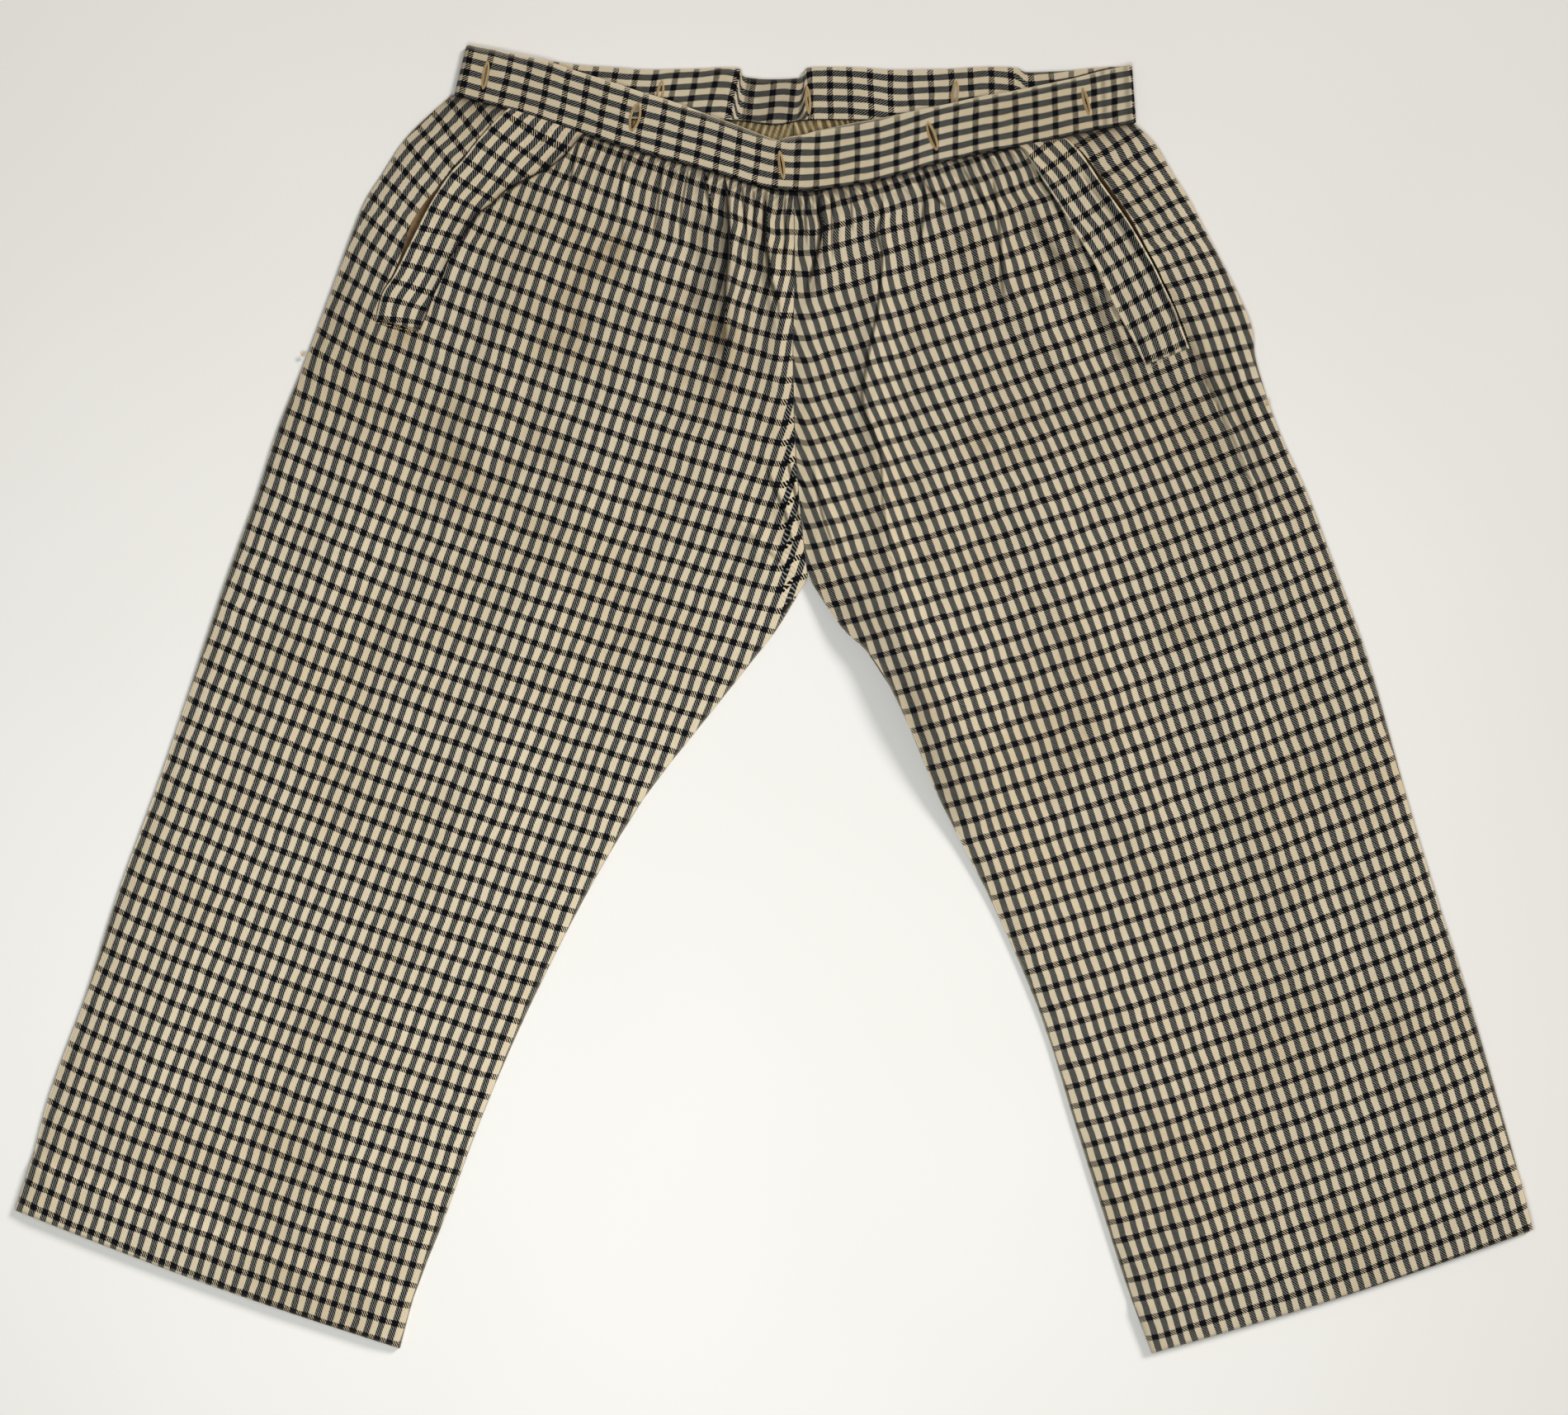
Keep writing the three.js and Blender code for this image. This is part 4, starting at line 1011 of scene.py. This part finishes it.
def welt(side):
    places = np.linspace(0, 1, WELT_GRID[0])
    shares = spread([(0, 0.05, 4), (0.05, 0.93, WELT_GRID[1] - 9), (0.93, 1, 5)])
    x, y = strip_points(WELT_EDGES[side], places, shares)
    shape = x.shape
    top, _ = panel_height(side, x.ravel(), y.ravel())
    top = top.reshape(shape)
    p, q = places[:, None] + 0 * x, shares[None, :] + 0 * x
    width = np.hypot(x[:, -1] - x[:, 0], y[:, -1] - y[:, 0])[:, None]
    gape = WELT_GAPE[side] * np.sin(math.pi * p) ** 1.5 * np.exp(-((q * width / 7) ** 2))
    edge = np.minimum(np.minimum(q, 1 - q) * width, np.minimum(p, 1 - p) * WELT_LENGTH)
    bulge = 0.5 + 0.5 * rounded(edge, 1.1)
    bottom = top + SEAM_GAP + gape
    seam = 0.35 * np.exp(-((((1 - q) * width - 1.6) / 0.5) ** 2))
    upper = bottom + WELT_THICKNESS * bulge - seam * (side == "right")
    check = np.column_stack([c.ravel() for c in welt_check(side, x, y)])
    worn = edge if side == "right" else q * width
    wear = np.tile((1.8 * np.exp(-((worn - 0.5) / 0.45) ** 2)).ravel(), 2)
    far = (1 - q) * width
    # painted shade along the left strip's sewn edge: a thin dark line and a wider soft one
    painted_shade = 0.8 * np.exp(-((far / 1.1) ** 2)) + 0.35 * np.exp(-((far / 4.5) ** 2))
    painted_shade = np.tile((painted_shade * (side == "left")).ravel(), 2)
    order = BACKWARD if side == "left" else AS_DRAWN
    return slab(f"welt_{side}", x, y, (upper, bottom), check, order, wear, painted_shade)


def facing(side):
    """The tan cloth that closes the slit from inside, seen through its gape."""
    line = SLIT_LINE[side]
    places = np.linspace(*FACING_SPAN, 70)
    cx, cy, nx, ny = curve_normals(line, places)
    across = np.linspace(-FACING_REACH, FACING_REACH, 15)
    x = cx[:, None] + nx[:, None] * across[None, :]
    y = cy[:, None] + ny[:, None] * across[None, :]
    low = panel_height(side, x.ravel(), y.ravel())[1]
    u, v = panel_uv(side, x.ravel(), y.ravel())
    dip = FACING_DIP * np.exp(-(((across + 2) / 3.6) ** 2)) + 0.05 * np.cos(places * 60)[:, None]
    lowest = (back_top(side, u, v) + SEAM_GAP + FACING_CLEARANCE).reshape(x.shape)
    upper = low.reshape(x.shape) - SEAM_GAP
    upper = np.minimum(upper, np.maximum(upper - dip, lowest))
    check = np.column_stack([np.tile(across, len(places)), np.repeat(places * line.length, len(across))])
    return slab(f"facing_{side}", x, y, (upper, upper - FACING_THICKNESS), check, CROSSED)


# ---- cutting ----
def lens_outline(ax, ay, bx, by, width, steps):
    """A narrow pointed oval from one place to another."""
    length = math.hypot(bx - ax, by - ay)
    nx, ny = -(by - ay) / length, (bx - ax) / length
    rows = []
    for i in range(2 * steps):
        f = i / steps if i <= steps else 2 - i / steps
        turn = 1 if i < steps else -1
        half = width / 2 * max(0.0, math.sin(math.pi * f)) ** 0.6 * turn
        rows.append((mix(ax, bx, f) + nx * half, mix(ay, by, f) + ny * half))
    return rows


def cut(piece, outlines, bottom, top):
    """Cuts upright prisms through a closed piece."""
    points, faces = [], []
    for outline in outlines:
        first, n = len(points), len(outline)
        area = sum(a[0] * b[1] - b[0] * a[1] for a, b in zip(outline, outline[1:] + outline[:1]))
        outline = outline if area > 0 else outline[::-1]
        points += [(x, y, bottom) for x, y in outline] + [(x, y, top) for x, y in outline]
        faces.append(tuple(range(first + n - 1, first - 1, -1)))
        faces.append(tuple(range(first + n, first + 2 * n)))
        for i in range(n):
            j = (i + 1) % n
            faces.append((first + i, first + j, first + n + j, first + n + i))
    knife = new_mesh("knife", points, faces, [(0.0, 0.0)] * len(points), sharp=True)
    modifier = piece.modifiers.new("cut", "BOOLEAN")
    modifier.operation = "DIFFERENCE"
    modifier.solver = "EXACT"
    modifier.object = knife
    graph = bpy.context.evaluated_depsgraph_get()
    mesh = bpy.data.meshes.new_from_object(piece.evaluated_get(graph))
    piece.modifiers.clear()
    old = piece.data
    name = old.name
    piece.data = mesh
    bpy.data.meshes.remove(old)
    mesh.name = name
    bpy.data.objects.remove(knife)


def slit_outline(side):
    """The pocket slit's gape, between the strip's edge and the side piece."""
    places = np.linspace(*SLIT_SPAN[side], 34)
    cx, cy, nx, ny = curve_normals(SLIT_LINE[side], places)
    nx, ny = nx * SIGN[side], ny * SIGN[side]
    f = (places - places[0]) / (places[-1] - places[0])
    ends = np.sin(math.pi * f) ** 0.5
    widest, where, spread_out = SLIT_GAPE[side]
    outer = ends * (SLIT_LEAST_GAPE + widest * np.exp(-(((f - where) / spread_out) ** 2)))
    inner = ends * SLIT_INSIDE
    there = list(zip(cx - nx * inner, cy - ny * inner))
    back = list(zip(cx + nx * outer, cy + ny * outer))[-2:0:-1]
    return [(float(a), float(b)) for a, b in there + back]


# ---- threads ----
def tube(path, radius, sides=5):
    """A thin closed thread along a path in millimetres."""
    path = np.asarray(path, float)
    along = np.gradient(path, axis=0)
    along /= np.linalg.norm(along, axis=1)[:, None]
    up = np.where(np.abs(along[:, 2:3]) > 0.9, [[1.0, 0, 0]], [[0, 0, 1.0]])
    a = np.cross(along, up)
    a /= np.linalg.norm(a, axis=1)[:, None]
    b = np.cross(along, a)
    angles = 2 * math.pi * np.arange(sides) / sides
    ring = a[:, None, :] * np.cos(angles)[None, :, None] + b[:, None, :] * np.sin(angles)[None, :, None]
    points = (path[:, None, :] + radius * ring).reshape(-1, 3)
    faces = []
    for i in range(len(path) - 1):
        for k in range(sides):
            m = (k + 1) % sides
            faces.append((i * sides + k, i * sides + m, (i + 1) * sides + m, (i + 1) * sides + k))
    faces.append(tuple(range(sides - 1, -1, -1)))
    last = (len(path) - 1) * sides
    faces.append(tuple(range(last, last + sides)))
    return points, faces


def join_tubes(name, tubes):
    """One mesh of all the threads of a kind."""
    points, faces, first = [], [], 0
    for p, f in tubes:
        points.append(p)
        faces += [tuple(int(i + first) for i in face) for face in f]
        first += len(p)
    return new_mesh(name, np.vstack(points), faces)


def stitch(ax, ay, bx, by, height_at, radius, sink):
    """One short thread over the cloth, its ends drawn in."""
    f = np.linspace(0, 1, 5)
    x, y = mix(ax, bx, f), mix(ay, by, f)
    z = height_at(x, y) + radius * 0.6 - sink * (1 - np.sin(math.pi * f)) * 1.6
    return tube(np.column_stack([x, y, z]), radius, 4)


RIM_WIDTH = 1.15
RIM_THREAD = 0.26
RIM_CORD = 0.34
STITCH_SINK = 0.2


def buttonhole_outline(x, y, width, lean, steps=10, out=0.0):
    reach = BUTTONHOLE_LENGTH / 2 + out
    top = (x + lean / 2, y + reach)
    foot = (x - lean / 2, y - reach)
    return lens_outline(*foot, *top, width + 2 * out, steps)


def buttonhole_rims(layer):
    """Close-set stitches over a raised edge round each slit of one run of the band."""
    tubes = []
    height_at = band_top(layer)
    for run, x, y, width, lean in BUTTONHOLES:
        if run != layer:
            continue
        inside = buttonhole_outline(x, y, width, lean, 24)
        outside = buttonhole_outline(x, y, width, lean, 24, RIM_WIDTH)
        for (ax, ay), (bx, by) in zip(inside, outside):
            tubes.append(stitch(ax, ay, bx, by, height_at, RIM_THREAD, STITCH_SINK))
        for out, radius in ((0.25, RIM_CORD), (RIM_WIDTH, RIM_THREAD)):
            ring = np.array(buttonhole_outline(x, y, width, lean, 24, out))
            ring = np.vstack([ring, ring[:1]])
            z = height_at(ring[:, 0], ring[:, 1]) + (0.22 if out < RIM_WIDTH else 0.05)
            tubes.append(tube(np.column_stack([ring, z]), radius, 5))
    return join_tubes(f"{layer}_buttonhole_rims", tubes)


# short runs of hand stitches on the panels: side, start, end, length, pitch
STITCH_RUNS = [
    ("left", (-238.5, 229), (-213, 222.5), 2.2, 3.0),
    ("left", (-239.5, 227), (-214, 221), 2.0, 3.4),
    ("right", (227, 200.5), (249, 212), 2.0, 3.2),
]
HEM_PICK_UP = 1.5            # below the hem's inner fold
HEM_PICK_PITCH = 11.0
PICK_THREAD, PICK_SINK = 0.13, 0.1
TACKS = [("left", -284.5, 208.5), ("right", 298.5, 179)]
TACK_THREAD = 0.2


def stitch_runs():
    tubes = []
    for side, (ax, ay), (bx, by), size, pitch in STITCH_RUNS:
        length = math.hypot(bx - ax, by - ay)
        for k in range(int(length / pitch) + 1):
            f = k * pitch / length
            x, y = mix(ax, bx, f), mix(ay, by, f)
            dx, dy = (bx - ax) / length * size, (by - ay) / length * size
            lean = 0.35 * (hashed(k + ax) - 0.5)
            tubes.append(stitch(x, y, x + dx, y + dy + size * lean, panel_top(side), RIM_THREAD, STITCH_SINK))
    v = 2 - (HEM_DEPTH - HEM_PICK_UP) / LEG
    for side in SIGN:
        width = float(panel_width(side, np.array([v]))[0])
        for k in range(1, int(width / HEM_PICK_PITCH)):
            u = k * HEM_PICK_PITCH / width + 0.006 * (hashed(k) - 0.5)
            (x,), (y,) = panel_point(side, "front", np.array([u]), np.array([v]))
            tubes.append(stitch(x, y, x + 0.5, y + 0.9, panel_top(side), PICK_THREAD, PICK_SINK))
    return join_tubes("panel_stitches", tubes)


def side_tacks():
    """Knotted thread ends where each side opening's foot is tacked."""
    tubes = []
    draws = np.random.default_rng(5)
    for side, x, y in TACKS:
        top = float(panel_height(side, np.array([x]), np.array([y]))[0][0])
        for k in range(7):
            turn = draws.uniform(0, 2 * math.pi)
            f = np.linspace(0, 1, 9)
            reach = draws.uniform(1.2, 3.4)
            px = x + reach * (f - 0.4) * math.cos(turn) + 0.7 * np.sin(f * 7 + k)
            py = y + reach * (f - 0.4) * math.sin(turn) + 0.7 * np.cos(f * 6 + k)
            pz = top + 0.3 + 0.5 * np.sin(math.pi * f)
            tubes.append(tube(np.column_stack([px, py, pz]), TACK_THREAD, 5))
    return join_tubes("side_tacks", tubes)


# ---- materials ----
def srgb(r, g, b):
    linear = [c / 255 / 12.92 if c <= 10 else ((c / 255 + 0.055) / 1.055) ** 2.4 for c in (r, g, b)]
    return (*linear, 1.0)


CREAM = srgb(240, 224, 193)
CREAM_DEEP = srgb(224, 202, 162)
NAVY = srgb(3, 5, 13)
NAVY_SOFT = srgb(12, 17, 31)
STRIPE_GREY = srgb(154, 151, 136)
STAIN = srgb(186, 154, 100)
# colour of the painted shade in creases, valleys, pucker gaps and at the waist seam
PAINTED_SHADE_COLOUR = srgb(66, 58, 54)
WAIST_WARM = srgb(206, 182, 132)
TAN, TAN_DEEP = srgb(150, 122, 86), srgb(112, 86, 58)
TAN_THREAD, TAN_THREAD_DEEP = srgb(196, 168, 120), srgb(168, 136, 90)
CREAM_THREAD, CREAM_THREAD_DEEP = srgb(214, 198, 160), srgb(190, 170, 130)
FLOOR, FLOOR_DEEP = srgb(239, 236, 231), srgb(231, 227, 220)
WARP_SHARE = 0.80
WEFT_GAP = 0.40
EDGE_WEAR = 0.30
STRIPE_WANDER, LINE_WANDER = 2.2, 2.6    # how far the threads drift from straight
THREAD_JITTER = 0.45
# strength of that painted shade
PAINTED_SHADE_STRENGTH = 0.92
WARM_SPREAD = 7.0            # height over which the inside of the waist turns warm
TAN_PITCH = 0.9              # between the ribs of the tan twill
# soiled places: middle, reach, strength
STAINS = [((-104, 273.5), 28, 0.75), ((-44, 188.5), 32, 0.65), ((-46, 222), 46, 0.65),
          ((-119, 228), 52, 0.50), ((-229, 230), 36, 0.50), ((-169, 143), 62, 0.40),
          ((140, 160), 36, 0.50), ((256, 51), 34, 0.40), ((131, 198.5), 24, 0.45)]


class Nodes:
    """Short calls for building a material's node tree."""

    def __init__(self, name):
        self.material = bpy.data.materials.new(name)
        self.material.use_nodes = True
        self.tree = self.material.node_tree
        self.shader = self.tree.nodes["Principled BSDF"]

    def put(self, socket, value):
        if isinstance(value, bpy.types.NodeSocket):
            self.tree.links.new(value, socket)
        elif value is not None:
            socket.default_value = value

    def math(self, operation, a, b=None):
        node = self.tree.nodes.new("ShaderNodeMath")
        node.operation = operation
        self.put(node.inputs[0], a)
        self.put(node.inputs[1], b)
        return node.outputs[0]

    def plus(self, a, b):
        return self.math("ADD", a, b)

    def minus(self, a, b):
        return self.math("SUBTRACT", a, b)

    def times(self, a, b):
        return self.math("MULTIPLY", a, b)

    def ramp(self, value, low, high, out_low=0.0, out_high=1.0):
        node = self.tree.nodes.new("ShaderNodeMapRange")
        node.interpolation_type = "SMOOTHSTEP"
        for key, given in (("Value", value), ("From Min", low), ("From Max", high),
                           ("To Min", out_low), ("To Max", out_high)):
            self.put(node.inputs[key], given)
        return node.outputs[0]

    def mix(self, factor, a, b, blend="MIX"):
        node = self.tree.nodes.new("ShaderNodeMix")
        node.data_type = "RGBA"
        node.blend_type = blend
        self.put(node.inputs[0], factor)
        self.put(node.inputs[6], a)
        self.put(node.inputs[7], b)
        return node.outputs[2]

    def noise(self, vector, scale, detail=2.0, roughness=0.5):
        node = self.tree.nodes.new("ShaderNodeTexNoise")
        self.put(node.inputs["Vector"], vector)
        for key, given in (("Scale", scale), ("Detail", detail), ("Roughness", roughness)):
            node.inputs[key].default_value = given
        return node.outputs["Fac"]

    def uv(self):
        node = self.tree.nodes.new("ShaderNodeUVMap")
        node.uv_map = "cloth"
        return node.outputs["UV"]

    def place(self):
        return self.tree.nodes.new("ShaderNodeTexCoord").outputs["Object"]

    def attribute(self, name):
        node = self.tree.nodes.new("ShaderNodeAttribute")
        node.attribute_name = name
        return node.outputs["Fac"]

    def split(self, vector):
        node = self.tree.nodes.new("ShaderNodeSeparateXYZ")
        self.put(node.inputs[0], vector)
        return node.outputs[0], node.outputs[1], node.outputs[2]

    def join(self, x, y, z=0.0):
        node = self.tree.nodes.new("ShaderNodeCombineXYZ")
        for socket, value in zip(node.inputs, (x, y, z)):
            self.put(socket, value)
        return node.outputs[0]

    def pulse(self, value, share, soft):
        """1 over a share of each unit of value, with soft edges."""
        f = self.math("FRACT", value)
        rise = self.ramp(f, 0.0, soft)
        fall = self.ramp(f, share - soft if share > 2 * soft else share, share, 1.0, 0.0)
        return self.times(rise, fall)

    def bump(self, height, distance, strength=1.0):
        node = self.tree.nodes.new("ShaderNodeBump")
        node.inputs["Distance"].default_value = distance
        node.inputs["Strength"].default_value = strength
        self.put(node.inputs["Height"], height)
        return node.outputs["Normal"]

    def finish(self, colour, rough, normal, sheen=0.06, specular=0.12):
        shader = self.shader.inputs
        self.put(shader["Base Color"], colour)
        self.put(shader["Roughness"], rough)
        self.put(shader["Normal"], normal)
        shader["Specular IOR Level"].default_value = specular
        shader["Sheen Weight"].default_value = sheen
        shader["Sheen Roughness"].default_value = 0.45
        return self.material


def stained(n, place, cream):
    """Cream with a soft brown spot at each soiled place."""
    x, y, _ = n.split(place)
    for (middle_x, middle_y), reach, strength in STAINS:
        dx = n.math("POWER", n.minus(x, middle_x * MM), 2.0)
        dy = n.math("POWER", n.minus(y, middle_y * MM), 2.0)
        spot = n.ramp(n.math("SQRT", n.plus(dx, dy)), 0.2 * reach * MM, reach * MM, strength, 0.0)
        spot = n.times(spot, n.ramp(n.noise(place, 45.0, 3.0), 0.3, 0.75))
        cream = n.mix(spot, cream, STAIN)
    return cream


def tone_and_painted_shade(n, place, tone):
    """Tone of the whole cloth, with painted shade darker towards the waist and the right side; also darker at
    the hems.
    """
    x, y, _ = n.split(place)
    shade = n.times(n.ramp(y, 0.04, 0.22, 1.0, 0.93), tone)
    shade = n.times(shade, n.ramp(x, 0.12, 0.26, 1.0, 0.95))
    shade = n.times(shade, n.ramp(y, -0.38, -0.29, 0.92, 1.0))
    return n.join(shade, shade, shade)


def check_twill(name, tone, crisp=1.0, stains=False, warm_from=None):
    """Navy warp stripes and weft lines on cream, crossed by the twill's diagonals."""
    n = Nodes(name)
    uv = n.uv()
    u, v, _ = n.split(uv)
    place = n.place()
    drift = n.minus(n.noise(uv, 0.05, 3.0), 0.5)
    jitter = n.times(n.minus(n.noise(uv, 1.1, 2.0, 0.6), 0.5), THREAD_JITTER)
    su = n.plus(n.plus(u, n.times(drift, STRIPE_WANDER)), jitter)
    sv = n.plus(n.plus(v, n.times(drift, LINE_WANDER)), jitter)
    stripe = n.pulse(n.math("DIVIDE", su, STRIPE_REPEAT), STRIPE_SHARE, 0.05)
    line = n.pulse(n.math("DIVIDE", sv, LINE_REPEAT), LINE_SHARE, 0.035)
    across = n.minus(n.times(u, math.cos(TWILL_ANGLE) / TWILL_REPEAT),
                     n.times(v, math.sin(TWILL_ANGLE) / TWILL_REPEAT))
    slub = n.times(n.minus(n.noise(uv, 0.9, 2.0), 0.5), 0.5)
    phase = n.plus(across, slub)
    warp_up = n.pulse(phase, WARP_SHARE, 0.09)
    weft_up = n.minus(1.0, n.pulse(phase, WEFT_GAP, 0.12))
    dark_line = n.times(n.times(line, n.math("MAXIMUM", weft_up, stripe)), crisp)
    cloudy = n.ramp(n.noise(place, 9.0, 3.0, 0.6), 0.40, 0.72)
    cream = n.mix(n.times(cloudy, 0.6), CREAM, CREAM_DEEP)
    grain = n.noise(n.join(n.times(u, 0.9), n.times(v, 0.22)), 1.0, 3.0, 0.7)
    cream = n.mix(n.ramp(grain, 0.25, 0.8, 0.0, 0.35), cream, CREAM_DEEP)
    if stains:
        cream = stained(n, place, cream)
    rib = n.math("SINE", n.times(phase, 2 * math.pi))
    cream = n.mix(n.ramp(rib, -1.0, 0.6, 0.20, 0.0), cream, NAVY_SOFT, "MULTIPLY")
    half_tone = n.mix(warp_up, STRIPE_GREY, NAVY_SOFT)
    colour = n.mix(n.times(stripe, crisp), cream, half_tone)
    colour = n.mix(dark_line, colour, NAVY)
    colour = n.mix(n.times(n.attribute("wear"), EDGE_WEAR), colour, CREAM)
    if warm_from:
        height = n.split(place)[1]
        warm = n.ramp(height, warm_from * MM, (warm_from + WARM_SPREAD) * MM, 0.0, 0.85)
        colour = n.mix(warm, colour, WAIST_WARM)
    # painted shade: darkens crease feet, valleys, the gaps between puckers and the waist seam
    colour = n.mix(n.times(n.attribute("painted_shade"), PAINTED_SHADE_STRENGTH), colour, PAINTED_SHADE_COLOUR, "MULTIPLY")
    # overall tone, with painted shade towards the waist and the right side, darker at the hems
    colour = n.mix(1.0, colour, tone_and_painted_shade(n, place, tone), "MULTIPLY")
    nap = n.noise(uv, 2.6, 3.0, 0.7)
    relief = n.plus(n.times(rib, 0.30), n.times(nap, 0.9))
    rough = n.ramp(nap, 0.2, 0.8, 0.86, 0.96)
    return n.finish(colour, rough, n.bump(relief, 0.00016, 0.8))


def plain_twill(name, colour, deep):
    n = Nodes(name)
    place = n.place()
    x, y, _ = n.split(place)
    rib = n.math("SINE", n.times(n.times(n.plus(x, n.times(y, 0.8)), 1 / (TAN_PITCH * MM)), 2 * math.pi))
    shade = n.ramp(n.noise(place, 160.0, 3.0, 0.6), 0.3, 0.75)
    base = n.mix(shade, colour, deep)
    base = n.mix(n.ramp(rib, -1.0, 1.0, 0.25, 0.0), base, deep)
    return n.finish(base, 0.93, n.bump(rib, 0.0001, 0.6))


def thread(name, colour, deep):
    n = Nodes(name)
    place = n.place()
    twist = n.noise(place, 2600.0, 2.0)
    return n.finish(n.mix(n.ramp(twist, 0.3, 0.7), colour, deep), 0.8, n.bump(twist, 0.00005), 0.3)


def floor_paper():
    n = Nodes("pale_floor")
    place = n.place()
    colour = n.mix(n.ramp(n.noise(place, 3.0, 2.0), 0.3, 0.7, 0.0, 0.3), FLOOR, FLOOR_DEEP)
    return n.finish(colour, 0.95, n.bump(n.noise(place, 420.0, 3.0), 0.00003), 0.0, 0.1)


# ---- the garment ----
cloth = check_twill("check_twill", 0.86, stains=True)
band_cloth = check_twill("band_twill", 0.82)
back_cloth = check_twill("check_twill_inside", 0.82, crisp=0.97, warm_from=332)
welt_cloth = check_twill("welt_twill", 0.90)
tan_cloth = plain_twill("tan_twill", TAN, TAN_DEEP)
tan_thread = thread("tan_thread", TAN_THREAD, TAN_THREAD_DEEP)
cream_thread = thread("cream_thread", CREAM_THREAD, CREAM_THREAD_DEEP)


def dress(piece, material, node=None):
    """Gives a piece its cloth, attaches it to the root body and hides the solid it stands for."""
    piece.data.materials.clear()
    piece.data.materials.append(material)
    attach(piece, "root")
    if node:
        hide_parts(node)
    return piece


UNDER_ALL, OVER_ALL = -1.0, 60.0     # heights that take a cut through everything
for side in SIGN:
    front = front_shell(side)
    cut(front, [slit_outline(side)], UNDER_ALL, OVER_ALL)
    dress(front, cloth, f"front_leg_{side}")
    dress(back_shell(side), back_cloth, f"back_leg_{side}")
    dress(welt(side), welt_cloth, f"pocket_welt_{side}")
    dress(facing(side), tan_cloth, f"pocket_facing_{side}")

band = band_shell()
split_height = BAND_WALL + SEAM_GAP / 2
for run, low, high in (("front", split_height, OVER_ALL), ("back", UNDER_ALL, split_height)):
    cut(band, [buttonhole_outline(*row[1:]) for row in BUTTONHOLES if row[0] == run], low, high)
dress(band, band_cloth, "waistband")

for run in ("front", "back"):
    dress(buttonhole_rims(run), tan_thread)
dress(stitch_runs(), tan_thread)
dress(side_tacks(), cream_thread)

# ---- floor, light and camera ----
FLOOR_DROP = 0.0003
FLOOR_SIZE = 16.0
bpy.ops.mesh.primitive_grid_add(x_subdivisions=12, y_subdivisions=12, size=FLOOR_SIZE,
                                location=(0, 0, -FLOOR_DROP))
floor = bpy.context.object
floor.name = "floor"
floor.data.materials.append(floor_paper())


def area_light(name, place, aim, size, power, colour):
    data = bpy.data.lights.new(name, "AREA")
    data.shape = "DISK"
    data.size = size
    data.energy = power
    data.color = colour
    lamp = bpy.data.objects.new(name, data)
    bpy.context.scene.collection.objects.link(lamp)
    lamp.location = place
    lamp.visible_camera = False
    lamp.rotation_mode = "QUATERNION"
    lamp.rotation_quaternion = (lamp.location - Vector(aim)).to_track_quat("Z", "Y")


area_light("key", (7.0, 5.6, 6.2), (0, 0, 0), 3.0, 840.0, (1.0, 0.97, 0.93))
area_light("overhead", (-0.10, -0.27, 0.95), (-0.10, -0.27, 0), 0.6, 5.3, (0.94, 1.0, 1.02))
world = bpy.data.worlds.new("studio")
world.use_nodes = True
world.node_tree.nodes["Background"].inputs["Color"].default_value = (1.0, 0.985, 0.99, 1.0)
world.node_tree.nodes["Background"].inputs["Strength"].default_value = 0.24
bpy.context.scene.world = world

LENS = 70.0
SENSOR = 36.0
FRAME_WIDTH = 0.950          # the photograph's width across the surface
FRAME_MIDDLE = (0.006, -0.005)
CAMERA_HEIGHT = LENS / SENSOR * FRAME_WIDTH
camera_data = bpy.data.cameras.new("camera")
camera_data.lens = LENS
camera_data.sensor_width = SENSOR
camera = bpy.data.objects.new("camera", camera_data)
camera.location = (*FRAME_MIDDLE, CAMERA_HEIGHT)
bpy.context.scene.collection.objects.link(camera)
bpy.context.scene.camera = camera
bpy.context.scene.view_settings.view_transform = "Standard"
